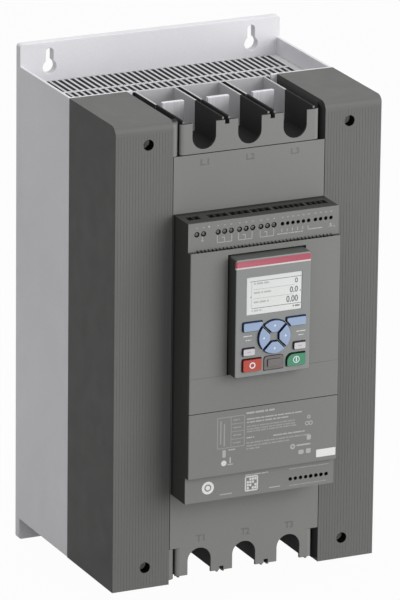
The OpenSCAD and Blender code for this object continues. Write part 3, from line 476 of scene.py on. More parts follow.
@dataclass(frozen=True)
class Plastic(Finish):
    """Moulded plastic, with other colours where a face has an overlay, and painted shade and light on faces
    that turn from the front or lie in the dark.

    Attributes:
        side: Painted shade: the darker colour of the faces that don't look to the front, if it differs.
        top: Colour of the faces that look upwards, if it differs from the sides, painted for the light and
            shade that fall on them.
        zones: Parts with colours of their own, most of them painted shade and light, a later one over an
            earlier one.
        wells: The screw wells with their painted shade and light, if it has them.
        roughness: Middle roughness.
        scale: Grains per metre.
        relief: Strength of the grain's relief.
        polish: How much lighter the softened edges are painted, a painted highlight.
        specular: Level of the shine.
    """

    GLOSS_SPREAD: ClassVar[float] = 0.07
    GRAIN_DEPTH: ClassVar[float] = 0.3 * MM
    KEY_GRAIN: ClassVar[float] = 2600.0

    side: Optional[Colour] = None
    top: Optional[Colour] = None
    zones: tuple[Zone, ...] = ()
    wells: Optional[Wells] = None
    roughness: float = 0.5
    scale: float = 1500.0
    relief: float = 0.06
    polish: float = 0.16
    specular: float = 0.5

    @classmethod
    def key(cls, name: str, colour: Colour, side: Colour, roughness: float = 0.38) -> "Plastic":
        """Gives the fine-grained plastic of a key, with painted shade on its sides."""
        return cls(name, colour, side=side, roughness=roughness, scale=cls.KEY_GRAIN)

    @classmethod
    def ink(cls, name: str, colour: Colour, roughness: float = 0.45, relief: float = 0.02) -> "Plastic":
        """Gives a thin print, film or label, without the painted edge highlight."""
        return cls(name, colour, roughness=roughness, relief=relief, polish=0.0)

    @staticmethod
    def turned(graph: Graph, colour: Colour, side: Optional[Colour], top: Optional[Colour] = None) -> Value:
        """Paints shade and light by the way a face looks: picks a colour for the front, the other faces and
        the upward ones.

        Args:
            graph: The material's graph.
            colour: Colour of the front.
            side: Colour of the other faces, if it differs: painted shade, and paler painted light on the
                ribs' groove walls.
            top: Colour of the faces that look upwards, if it differs, painted for the light and shade that
                fall on them.

        Returns:
            The colour or its socket.
        """
        if side is None:
            return rgba(colour)
        facing = graph.place(Groups.facing())
        other: Value = rgba(side)
        if top is not None:
            other = graph.mix(facing.outputs["Top"], other, rgba(top))
        return graph.mix(facing.outputs["Front"], other, rgba(colour))

    def tint(self, graph: Graph) -> Value:
        """Builds the finish's colour, with its painted shade and light, before grain and the painted edge
        highlight.

        Args:
            graph: The material's graph.

        Returns:
            The colour or its socket.
        """
        colour = self.turned(graph, self.colour, self.side, self.top)
        for zone in self.zones:
            colour = graph.mix(zone.mask(graph), colour, self.turned(graph, zone.colour, zone.side))
        return colour if self.wells is None else self.wells.tint(graph, colour)

    def surface(self, graph: Graph) -> dict[str, Value]:
        """Builds the tinted and grained plastic, with a painted highlight on its softened edges.

        Args:
            graph: The material's graph.

        Returns:
            A value or a socket for each of the shader's inputs.
        """
        grain = graph.place(Groups.mould_grain(), Scale=self.scale)
        edge = graph.place(Groups.edge_polish())
        colour = self.tint(graph)
        shaded = graph.mix(1.0, colour, grain.outputs["Shade"], "MULTIPLY")
        # Painted highlight: the softened edges are painted lighter
        lift = graph.math("ADD", graph.math("MULTIPLY", edge.outputs["Edge"], self.polish), 1.0)
        polished = graph.mix(1.0, shaded, lift, "MULTIPLY")
        rough = (self.roughness - self.GLOSS_SPREAD, self.roughness + self.GLOSS_SPREAD)
        gloss = graph.remap(grain.outputs["Gloss"], NOISE_SPAN, rough)
        height = {"Height": grain.outputs["Height"], "Distance": self.GRAIN_DEPTH}
        bump = graph.node("ShaderNodeBump", {**height, "Strength": self.relief})
        return {
            "Base Color": polished, "Roughness": gloss, "Normal": bump.outputs[0],
            "Specular IOR Level": self.specular,
        }


@dataclass(frozen=True)
class Metal(Finish):
    """Drawn, extruded or plated metal with fine lines along its length.

    Attributes:
        roughness: Middle roughness.
        scale: Lines per metre.
        metallic: Share of bare metal, less where the surface is plated dull.
    """

    SMOOTHER: ClassVar[float] = 0.08
    ROUGHER: ClassVar[float] = 0.1
    LINE_DEPTH: ClassVar[float] = 0.2 * MM
    LINE_RELIEF: ClassVar[float] = 0.05

    roughness: float = 0.34
    scale: float = 900.0
    metallic: float = 1.0

    def surface(self, graph: Graph) -> dict[str, Value]:
        """Builds the metal with its fine lines and uneven gloss.

        Args:
            graph: The material's graph.

        Returns:
            A value or a socket for each of the shader's inputs.
        """
        lines = graph.place(Groups.draw_lines(), Scale=self.scale)
        grain = graph.place(Groups.mould_grain())
        shaded = graph.mix(1.0, rgba(self.colour), lines.outputs["Shade"], "MULTIPLY")
        rough = (self.roughness - self.SMOOTHER, self.roughness + self.ROUGHER)
        gloss = graph.remap(grain.outputs["Gloss"], NOISE_SPAN, rough)
        height = {"Height": lines.outputs["Height"], "Distance": self.LINE_DEPTH}
        bump = graph.node("ShaderNodeBump", {**height, "Strength": self.LINE_RELIEF})
        return {
            "Base Color": shaded, "Roughness": gloss, "Normal": bump.outputs[0], "Metallic": self.metallic,
        }


@dataclass(frozen=True)
class Glaze(Finish):
    """Clear display window: a faint glossy film that lets the cell behind it show.

    Attributes:
        alpha: How much of the film shows.
    """

    alpha: float = 0.06

    def surface(self, graph: Graph) -> dict[str, Value]:
        """Builds the clear film with its uneven gloss.

        Args:
            graph: The material's graph.

        Returns:
            A value or a socket for each of the shader's inputs.
        """
        grain = graph.place(Groups.mould_grain())
        gloss = graph.remap(grain.outputs["Gloss"], NOISE_SPAN, (0.04, 0.12))
        return {"Base Color": rgba(self.colour), "Roughness": gloss, "Alpha": self.alpha}


@dataclass(frozen=True)
class Board(Finish):
    """Lacquered circuit board with tracks and pads.

    Attributes:
        track: Colour of the tracks under the lacquer.
    """

    track: Colour = (0.05, 0.17, 0.08)

    def surface(self, graph: Graph) -> dict[str, Value]:
        """Builds the lacquer with the tracks that show through it.

        Args:
            graph: The material's graph.

        Returns:
            A value or a socket for each of the shader's inputs.
        """
        where = graph.node("ShaderNodeTexCoord").outputs["Object"]
        turned = graph.node("ShaderNodeMapping", {"Vector": where, "Rotation": FRONT})
        lacquer = {"Color1": rgba(self.colour), "Color2": rgba(self.colour)}
        tracks = {"Mortar": rgba(self.track), "Scale": 120.0, "Mortar Size": 0.03}
        brick = graph.node("ShaderNodeTexBrick", {"Vector": turned.outputs[0], **lacquer, **tracks})
        grain = graph.place(Groups.mould_grain())
        gloss = graph.remap(grain.outputs["Gloss"], NOISE_SPAN, (0.25, 0.4))
        return {"Base Color": brick.outputs["Color"], "Roughness": gloss}


class Finishes:
    """Finishes of the starter's pieces."""

    # Painted shade: the cooling duct's inside is painted dark, as little light reaches it
    DUCT_SHADE = Zone(
        (0.16, 0.16, 0.165),
        across=126.2 * MM, back=-3.5 * MM, front=CASING_FACE + 0.5 * MM, up=193.0 * MM,
    )
    CHASSIS = Plastic(
        "chassis_light_grey", (0.765, 0.759, 0.788), zones=(DUCT_SHADE,),
        roughness=0.48, polish=0.05, specular=0.3,
    )
    # Painted shade: the recessed top grille is darker than the chassis grey on its top faces, and much
    # darker on its other faces down in the slots
    GRILLE = Plastic(
        "grille_light_grey", (0.14, 0.14, 0.144), side=(0.14, 0.14, 0.144), top=(0.55, 0.547, 0.56),
        roughness=0.48, polish=0.0, specular=0.1,
    )

    # Painted shade: dark gaps are painted outside the compartments' walls and between each pair of walls,
    # and the walls are the chassis grey painted darker for the shade they stand in
    BASE_SHADED_GREY = (0.51, 0.508, 0.52)
    BASE_GAP_SHADE = Zone((0.04, 0.04, 0.041), back=CASING_FACE + 4.05 * MM, up=BASE_TOP - 0.3 * MM)
    TERMINAL_BASE = Plastic(
        "terminal_base_grey", BASE_SHADED_GREY, roughness=0.5, specular=0.2,
        zones=(
            BASE_GAP_SHADE, Zone(BASE_SHADED_GREY, across=63.95 * MM),
            replace(BASE_GAP_SHADE, across=24.05 * MM), Zone(BASE_SHADED_GREY, across=19.95 * MM),
        ),
    )

    # The covers' plain strip beside the middle cover ends here, and the ribs stand on the rest; painted
    # light: the ribs' groove walls are paler than the covers' sides, so that the grooves show less shade
    INNER_STRIP = 73.62 * MM
    RIBS = Zone((0.160, 0.160, 0.157), (0.235, 0.235, 0.231), back=COVER_FACE + 0.3 * MM)
    # Painted shade: the covers' sides and tops are darker than their fronts, the plain strip's side walls
    # are near black, and the screw wells have painted shade on their walls and painted light at their deep
    # end
    COVER_LEFT = Plastic(
        "cover_dark_grey", (0.160, 0.160, 0.157), side=(0.114, 0.114, 0.112), top=(0.146, 0.146, 0.143),
        zones=(RIBS, Zone((0.215, 0.215, 0.209), (0.03, 0.03, 0.03), across=INNER_STRIP)),
        wells=Wells(across=97.3 * MM, up=195.8 * MM, radius=5.0 * MM, end=COVER_FACE + 10.0 * MM),
        roughness=0.55, relief=0.09, polish=0.0, specular=0.05,
    )
    # Painted shade: the right cover's plain strip is painted near black, as the shade in the gap beside the
    # middle cover
    COVER_RIGHT = replace(
        COVER_LEFT, name="cover_dark_grey_right",
        zones=(RIBS, Zone((0.012, 0.012, 0.012), across=INNER_STRIP)),
    )
    # Painted shade: the middle cover's sides, and darkest its upward faces down in the openings, are much
    # darker than its front
    MIDDLE = Plastic(
        "middle_mid_grey", (0.227, 0.227, 0.221), side=(0.050, 0.050, 0.049), top=(0.022, 0.022, 0.022),
        roughness=0.55, specular=0.03,
    )

    # Painted shade: the module's sides and tops are darker than its front, and all that lies more than 7 mm
    # behind its front, as in its holes and openings, is painted near black
    MODULE_SIDE_SHADE = (0.056, 0.056, 0.054)
    MODULE = Plastic(
        "module_grey_front", (0.220, 0.220, 0.214), side=MODULE_SIDE_SHADE, top=(0.07, 0.07, 0.068),
        zones=(Zone((0.03, 0.03, 0.03), MODULE_SIDE_SHADE, front=PANEL_FACE + 7.0 * MM),),
        roughness=0.55, specular=0.06,
    )
    BASE = Plastic("module_dark_base", (0.03, 0.03, 0.029), roughness=0.55, specular=0.1)
    TERMINAL = Plastic("terminal_black", (0.012, 0.012, 0.012), roughness=0.55, specular=0.08)
    INNER = Plastic("inner_black", (0.02, 0.02, 0.02), roughness=0.55, specular=0.1)

    # Painted shade: the keypad's sides and top, the keys' sides and the port cover's sides are darker than
    # their fronts
    KEYPAD = Plastic(
        "keypad_grey_face", (0.255, 0.262, 0.258), side=(0.050, 0.052, 0.049), top=(0.082, 0.088, 0.081),
        roughness=0.45, specular=0.15,
    )
    KEY_BLUE = Plastic.key("key_pale_blue", (0.275, 0.36, 0.52), (0.03, 0.055, 0.13))
    KEY_GREY = Plastic.key("key_mauve_grey", (0.54, 0.525, 0.55), (0.06, 0.055, 0.065), 0.4)
    KEY_RED = Plastic.key("key_orange_red", (0.41, 0.051, 0.029), (0.16, 0.02, 0.015))
    KEY_GREEN = Plastic.key("key_green", (0.046, 0.225, 0.122), (0.012, 0.05, 0.03))
    PORT = Plastic(
        "port_dark_rubber", (0.17, 0.158, 0.155), side=(0.04, 0.038, 0.037), roughness=0.6, specular=0.25
    )

    CELL = Plastic.ink("display_pale_cell", (0.69, 0.705, 0.69), 0.35, 0.01)
    INK = Plastic.ink("display_dark_ink", (0.13, 0.135, 0.14), 0.4, 0.01)
    FAINT_INK = Plastic.ink("display_faint_ink", (0.42, 0.425, 0.42), 0.4, 0.01)
    PRINT = Plastic.ink("pale_print", (0.40, 0.40, 0.395))
    FAINT_PRINT = Plastic.ink("faint_print", (0.30, 0.30, 0.295))
    BRIGHT_PRINT = Plastic.ink("bright_print", (0.64, 0.64, 0.63))
    KEY_WORD = Plastic.ink("key_word_grey", (0.40, 0.39, 0.41))
    KEY_MARK = Plastic.ink("key_mark_pale", (0.72, 0.76, 0.82), 0.4)
    PALE_LINE = Plastic.ink("pale_line", (0.64, 0.60, 0.59))
    STRIPE = Plastic.ink("stripe_red", (0.39, 0.074, 0.108), 0.36)
    LABEL = Plastic.ink("white_label", (0.74, 0.74, 0.73), 0.42, 0.03)
    # Painted shade: the phase marks are thin darker sheets that stand in for the shade on a moulded relief
    RELIEF_SHADE = Plastic.ink("relief_mark", (0.125, 0.125, 0.122), 0.5, 0.06)

    BAR = Metal("bar_tinned", (0.74, 0.73, 0.77), roughness=0.5, scale=500.0, metallic=0.2)
    SINK = Metal("sink_aluminium", (0.20, 0.203, 0.21), roughness=0.5)
    SCREW = Metal("screw_zinc", (0.12, 0.12, 0.122), roughness=0.5, scale=1600.0)
    COVER_SCREW = Metal("cover_screw_grey", (0.36, 0.36, 0.355), roughness=0.5, scale=1600.0, metallic=0.3)
    GLASS = Glaze("display_window_film", (0.9, 0.92, 0.92))
    BOARD = Board("board_green", (0.02, 0.09, 0.04))


# Modelling by operators


def only(thing: bpy.types.Object) -> None:
    """Makes one object the only selected one and the active one."""
    bpy.ops.object.select_all(action="DESELECT")
    thing.select_set(True)
    bpy.context.view_layer.objects.active = thing


@contextmanager
def editing(thing: bpy.types.Object) -> Iterator[None]:
    """Keeps one object in edit mode for a while.

    Args:
        thing: The object to edit.

    Yields:
        Nothing.
    """
    only(thing)
    bpy.ops.object.mode_set(mode="EDIT")
    try:
        yield
    finally:
        bpy.ops.object.mode_set(mode="OBJECT")


def pick(thing: bpy.types.Object, kind: Pick, test: Test) -> int:
    """Selects the points, edges or faces of an object that pass a test.

    Args:
        thing: The object.
        kind: What is selected.
        test: A test of an element's corner points.

    Returns:
        How many elements are selected.
    """
    with editing(thing):
        bpy.ops.mesh.select_mode(type=kind.value)
        bpy.ops.mesh.select_all(action="DESELECT")
    mesh = thing.data
    points = [vertex.co for vertex in mesh.vertices]
    if kind is Pick.POINTS:
        elements = [(vertex, [vertex.co]) for vertex in mesh.vertices]
    else:
        listed = mesh.edges if kind is Pick.EDGES else mesh.polygons
        elements = [(element, [points[i] for i in element.vertices]) for element in listed]
    count = 0
    for element, corners in elements:
        element.select = test(corners)
        count += element.select
    return count


def apply(thing: bpy.types.Object, kind: str, **settings: object) -> None:
    """Adds a modifier and applies it.

    Args:
        thing: The object.
        kind: The modifier's type.
        settings: The modifier's properties.
    """
    only(thing)
    modifier = thing.modifiers.new(kind.lower(), kind)
    for key, value in settings.items():
        setattr(modifier, key, value)
    bpy.ops.object.modifier_apply(modifier=modifier.name)


def finish_piece(thing: bpy.types.Object, finish: Finish, body: str) -> bpy.types.Object:
    """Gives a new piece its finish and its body.

    Args:
        thing: The piece.
        finish: Its finish.
        body: The CAD body that it rides on.

    Returns:
        The piece.
    """
    thing.data.materials.clear()
    thing.data.materials.append(finish.material())
    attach(thing, body)
    LOG.info("%s rides on %s, %d faces", thing.name, body, len(thing.data.polygons))
    return thing


class Rows:
    """What the record says of each CAD node."""

    SLOT_OF = {row["node"]: row["material_slot"] for row in frame["record"]["subparts"]}
    BODIES = frame["record"]["behaviour"]["bodies"]
    BODY_OF = {node: body for body, nodes in BODIES.items() for node in nodes}


TERMINAL_COUNTS = {
    "supply_terminals": 2, "relay_terminals_1": 3, "relay_terminals_2": 3, "relay_terminals_3": 3,
    "input_terminals": 6, "sensor_terminals": 4, "bus_terminals": 8,
}


def terminal_places(*left_out: str) -> list[float]:
    """Finds the middles of the control terminals across.

    Args:
        left_out: Terminal blocks that aren't wanted.

    Returns:
        The places from block to block.
    """
    places = []
    for node, count in TERMINAL_COUNTS.items():
        if node not in left_out:
            low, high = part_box(node)
            pitch = (high.x - low.x) / count
            places += [low.x + pitch * (index + 0.5) for index in range(count)]
    return places


@dataclass
class Rounding:
    """Edges of a moulding that have a larger radius than the rest.

    Attributes:
        test: Picks the edges by their ends.
        width: Width of the rounding.
        segments: Facets across it.
    """

    test: Test
    width: float
    segments: int = 4


@dataclass
class Moulding:
    """Copy of a CAD node with the softened edges of a moulded or machined part.

    Attributes:
        node: The CAD node that the copy stands for.
        finish: The piece's finish.
        width: Width of the softened edges, or nothing to keep the CAD node itself.
        segments: Facets across a softened edge.
        roundings: Edges with a larger radius.
        joined: Further CAD nodes that are one moulding with it on the real object.
        dish: Depth of the shallow dish in its front face, if it has one.
        dimple: Radius of the dish where it is round and only in the middle of the face.
        partings: Places across where faces with rows of holes stay parted, so that each part is simple.
    """

    DISH_RIM: ClassVar[float] = 1.1 * MM

    node: str
    finish: Finish
    width: float = 0.0
    segments: int = 2
    roundings: Sequence[Rounding] = field(default_factory=tuple)
    joined: Sequence[str] = field(default_factory=tuple)
    dish: float = 0.0
    dimple: float = 0.0
    partings: Sequence[float] = field(default_factory=tuple)

    @staticmethod
    def merged_copy(node: str, name: str) -> bpy.types.Object:
        """Copies a CAD node's mesh into a new object and merges its loose triangles.

        Args:
            node: The CAD node.
            name: The new object's name.

        Returns:
            The new object.
        """
        copy = bpy.data.objects.new(name, frame["nodes"][node].data.copy())
        bpy.context.scene.collection.objects.link(copy)
        with editing(copy):
            bpy.ops.mesh.customdata_custom_splitnormals_clear()
            bpy.ops.mesh.select_all(action="SELECT")
            bpy.ops.mesh.remove_doubles(threshold=MERGE_DISTANCE)
        return copy

    def hollow_front(self, copy: bpy.types.Object) -> None:
        """Sinks the dish into the front face, over the whole face or as a round dimple.

        Args:
            copy: The moulding's copy.
        """
        low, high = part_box(self.node)
        if not self.dimple:
            pick(copy, Pick.FACES, lambda ends: all(abs(end.y - low.y) < SAME_PLACE for end in ends))
            with editing(copy):
                bpy.ops.mesh.inset(thickness=self.DISH_RIM, depth=-self.dish)
            return
        middle = ((low.x + high.x) / 2, low.y, (low.z + high.z) / 2)
        bpy.ops.object.select_all(action="DESELECT")
        bpy.ops.mesh.primitive_cone_add(
            vertices=32, radius1=self.dimple - self.DISH_RIM, radius2=self.dimple + self.DISH_RIM,
            depth=2 * self.dish, rotation=FRONT, location=middle,
        )
        cutter = bpy.context.active_object
        apply(copy, "BOOLEAN", operation="DIFFERENCE", solver="EXACT", object=cutter)
        bpy.data.objects.remove(cutter)

    def dress(self) -> bpy.types.Object:
        """Gives the CAD node its finish, or puts a softened copy in its place.

        Returns:
            The shown object.
        """
        source = frame["nodes"][self.node]
        if not self.width:
            source.data.materials.clear()
            source.data.materials.append(self.finish.material())
            LOG.info("%s keeps its solid", self.node)
            return source
        copy = self.merged_copy(self.node, f"{self.node}_softened")
        for node in self.joined:
            other = self.merged_copy(node, f"{node}_joined")
            apply(copy, "BOOLEAN", operation="UNION", solver="EXACT", object=other)
            bpy.data.objects.remove(other)
        with editing(copy):
            bpy.ops.mesh.select_all(action="SELECT")
            bpy.ops.mesh.remove_doubles(threshold=MERGE_DISTANCE)
            for place in self.partings:
                bpy.ops.mesh.select_all(action="SELECT")
                bpy.ops.mesh.bisect(plane_co=(place, 0.0, 0.0), plane_no=(1.0, 0.0, 0.0))
                bpy.ops.mesh.mark_seam()
            bpy.ops.mesh.select_all(action="SELECT")
            bpy.ops.mesh.dissolve_limited(angle_limit=FLAT_ANGLE, delimit={"SEAM"})
        if self.dish:
            self.hollow_front(copy)
        for rounding in self.roundings:
            if pick(copy, Pick.EDGES, rounding.test):
                with editing(copy):
                    bpy.ops.mesh.bevel(
                        offset=rounding.width, segments=rounding.segments,
                        affect="EDGES", clamp_overlap=False,
                    )
        apply(
            copy, "BEVEL", width=self.width, segments=self.segments,
            limit_method="ANGLE", angle_limit=SHARP_ANGLE,
            use_clamp_overlap=False, harden_normals=False, miter_outer="MITER_SHARP",
        )
        only(copy)
        bpy.ops.object.shade_smooth_by_angle(angle=SHARP_ANGLE)
        apply(copy, "WEIGHTED_NORMAL", keep_sharp=True)
        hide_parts(self.node, *self.joined)
        return finish_piece(copy, self.finish, Rows.BODY_OF[self.node])


# Print, display and key marks


@dataclass
class Sheet:
    """Thin printed marks on one face that looks to the front, joined into one piece.

    Attributes:
        name: The piece's name.
        face: Where the carrying face lies in depth.
        finish: Finish of the marks.
        body: The CAD body that carries them.
        slot: The record's material slot; not used.
        thickness: How far a mark stands off the face.
        sink: How far it reaches into the face.
        marks: The marks made so far.
        masters: The plates that marks are copied from, by size and corner.
    """

    # Middle length and swing of a bar in a row, the row's beat, and the gap for each unit of height
    BAR_LENGTH: ClassVar[float] = 0.75
    BAR_SWING: ClassVar[float] = 0.45
    BAR_BEAT: ClassVar[float] = 2.4
    BAR_GAP: ClassVar[float] = 0.55
    # Thickening of a figure's strokes and the distance its points merge at, in parts of its height
    LETTER_WEIGHT: ClassVar[float] = 0.028
    LETTER_MERGE: ClassVar[float] = 0.0005

    name: str
    face: float
    finish: Finish
    body: str = Body.STARTER.value
    slot: str = Slot.MODULE.value
    thickness: float = 0.06 * MM
    sink: float = 0.04 * MM
    marks: list[bpy.types.Object] = field(default_factory=list)
    masters: dict[tuple, bpy.types.Object] = field(default_factory=dict)

    @property
    def depth(self) -> float:
        """Whole thickness of a mark."""
        return self.thickness + self.sink

    @property
    def middle(self) -> float:
        """Depth at which a mark's own middle lies."""
        return self.face + (self.sink - self.thickness) / 2

    def keep(self, thing: bpy.types.Object) -> bpy.types.Object:
        """Applies a mark's place and adds it to the sheet.

        Args:
            thing: The mark.

        Returns:
            The mark.
        """
        only(thing)
        bpy.ops.object.transform_apply(location=True, rotation=True, scale=True)
        self.marks.append(thing)
        return thing

    def plate(self, height: float, corner: float) -> bpy.types.Object:
        """Models a square plate with rounded corners once, to be copied for each mark of that height.

        Args:
            height: Height and width of the plate.
            corner: Radius of its corners.

        Returns:
            The master plate, centred on the origin.
        """
        key = (round(height / MM, 3), round(corner / MM, 3))
        if key not in self.masters:
            bpy.ops.object.select_all(action="DESELECT")
            bpy.ops.mesh.primitive_cube_add(size=1.0)
            master = bpy.context.active_object
            master.scale = (height, self.depth, height)
            bpy.ops.object.transform_apply(location=True, rotation=True, scale=True)
            pick(master, Pick.EDGES, lambda ends: abs(ends[0].y - ends[1].y) > self.depth / 2)
            with editing(master):
                bpy.ops.mesh.bevel(offset=corner, segments=3, affect="EDGES")
            self.masters[key] = master
        return self.masters[key]

    def patch(self, x: Span, z: Span, corner: float = 0.0) -> bpy.types.Object:
        """Prints a rounded patch.

        Args:
            x: Its left and right ends in millimetres.
            z: Its lower and upper ends in millimetres.
            corner: Radius of its corners in millimetres, a quarter of its smaller side if none is given.

        Returns:
            The patch.
        """
        width, height = (x[1] - x[0]) * MM, (z[1] - z[0]) * MM
        small = min(width, height)
        master = self.plate(small, corner * MM or small / 4)
        mark = bpy.data.objects.new(self.name, master.data.copy())
        bpy.context.scene.collection.objects.link(mark)
        axis, extra = (0, width - small) if width > height else (2, height - small)
        if extra > 0.0:
            pick(mark, Pick.POINTS, lambda points: points[0][axis] > 0.0)
            stretch = [0.0, 0.0, 0.0]
            stretch[axis] = extra
            with editing(mark):
                bpy.ops.transform.translate(value=stretch)
        mark.location = (x[0] * MM + small / 2, self.middle, z[0] * MM + small / 2)
        return self.keep(mark)

    def line(self, x: Span, z: float, width: float = 0.5) -> None:
        """Prints a level line or a bar.

        Args:
            x: Its ends in millimetres.
            z: Its middle's height.
            width: Its own height.
        """
        self.patch(x, (z - width / 2, z + width / 2))

    def stroke(self, x: float, z: Span, width: float = 0.5) -> None:
        """Prints an upright line.

        Args:
            x: Its middle's place across, in millimetres.
            z: Its ends.
            width: Its own width.
        """
        self.patch((x - width / 2, x + width / 2), z)

    def words(self, x: Span, z: float, height: float, step: float = 5.2) -> None:
        """Prints a row of bars of uneven lengths, in the rhythm of a line of small print.

        Args:
            x: The row's ends in millimetres.
            z: Its middle's height.
            height: Height of the bars.
            step: Middle length of a bar with its gap.
        """
        left, count = x[0], 0
        while left < x[1] - height:
            length = step * (self.BAR_LENGTH + self.BAR_SWING * math.sin(self.BAR_BEAT * count + z))
            right = min(left + length, x[1])
            self.line((left, right), z, height)
            left, count = right + height * self.BAR_GAP, count + 1

    def outline(self, x: Span, z: Span, width: float = 0.5) -> None:
        """Prints a rectangle of four lines.

        Args:
            x: Its left and right ends in millimetres.
            z: Its lower and upper ends.
            width: Width of the lines.
        """
        for level in z:
            self.line(x, level, width)
        for side in x:
            self.stroke(side, z, width)

    @staticmethod
    def is_level(points: Sequence[Vector]) -> bool:
        """Tells whether a face of a disc that still lies flat is one of its two ends."""
        heights = [point.z for point in points]
        return max(heights) - min(heights) < MERGE_DISTANCE

    def disc(
        self, x: float, z: float, radius: float, hole: float = 0.0, sides: int = 24, turn: float = 0.0
    ) -> bpy.types.Object:
        """Prints a disc, a ring or, with few sides, a small arrow head.

        Args:
            x: Its centre across, in millimetres.
            z: Its centre's height.
            radius: Its radius.
            hole: Radius of its hole, if it is a ring.
            sides: How many sides it has.
            turn: How far its first corner is turned from the top to the right, in degrees.

        Returns:
            The disc.
        """
        bpy.ops.object.select_all(action="DESELECT")
        bpy.ops.mesh.primitive_cylinder_add(
            vertices=sides, radius=radius * MM, depth=self.depth,
            rotation=(FRONT[0], math.radians(turn), 0.0), location=(x * MM, self.middle, z * MM),
        )
        thing = bpy.context.active_object
        if hole:
            pick(thing, Pick.FACES, self.is_level)
            with editing(thing):
                bpy.ops.mesh.inset(thickness=(radius - hole) * MM)
                bpy.ops.mesh.bridge_edge_loops()
        return self.keep(thing)

    def letters(self, words: str, x: Span, z: Span) -> bpy.types.Object:
        """Prints plain figures or letters into a box.

        Args:
            words: The figures.
            x: The box's left and right ends in millimetres.
            z: Its lower and upper ends.

        Returns:
            The figures as a mesh.
        """
        bpy.ops.object.select_all(action="DESELECT")
        bpy.ops.object.text_add()
        thing = bpy.context.active_object
        thing.data.body = words
        thing.data.extrude = 0.5
        thing.data.offset = self.LETTER_WEIGHT
        thing.data.resolution_u = 3
        bpy.ops.object.convert(target="MESH")
        thing = bpy.context.active_object
        corners = [Vector(corner) for corner in thing.bound_box]
        low = [min(corner[i] for corner in corners) for i in range(3)]
        high = [max(corner[i] for corner in corners) for i in range(3)]
        wide, tall = (x[1] - x[0]) * MM / (high[0] - low[0]), (z[1] - z[0]) * MM / (high[1] - low[1])
        thing.rotation_euler = FRONT
        thing.scale = (wide, tall, self.depth)
        thing.location = (x[0] * MM - low[0] * wide, self.middle, z[0] * MM - low[1] * tall)
        with editing(thing):
            bpy.ops.mesh.select_all(action="SELECT")
            bpy.ops.mesh.remove_doubles(threshold=self.LETTER_MERGE)
        return self.keep(thing)

    def build(self) -> bpy.types.Object:
        """Joins the marks into one piece and dresses it.

        Returns:
            The piece.
        """
        for master in self.masters.values():
            bpy.data.objects.remove(master)
        self.masters.clear()
        only(self.marks[0])
        for mark in self.marks:
            mark.select_set(True)
        if len(self.marks) > 1:
            bpy.ops.object.join()
        piece = bpy.context.active_object
        piece.name = piece.data.name = self.name
        return finish_piece(piece, self.finish, self.body)


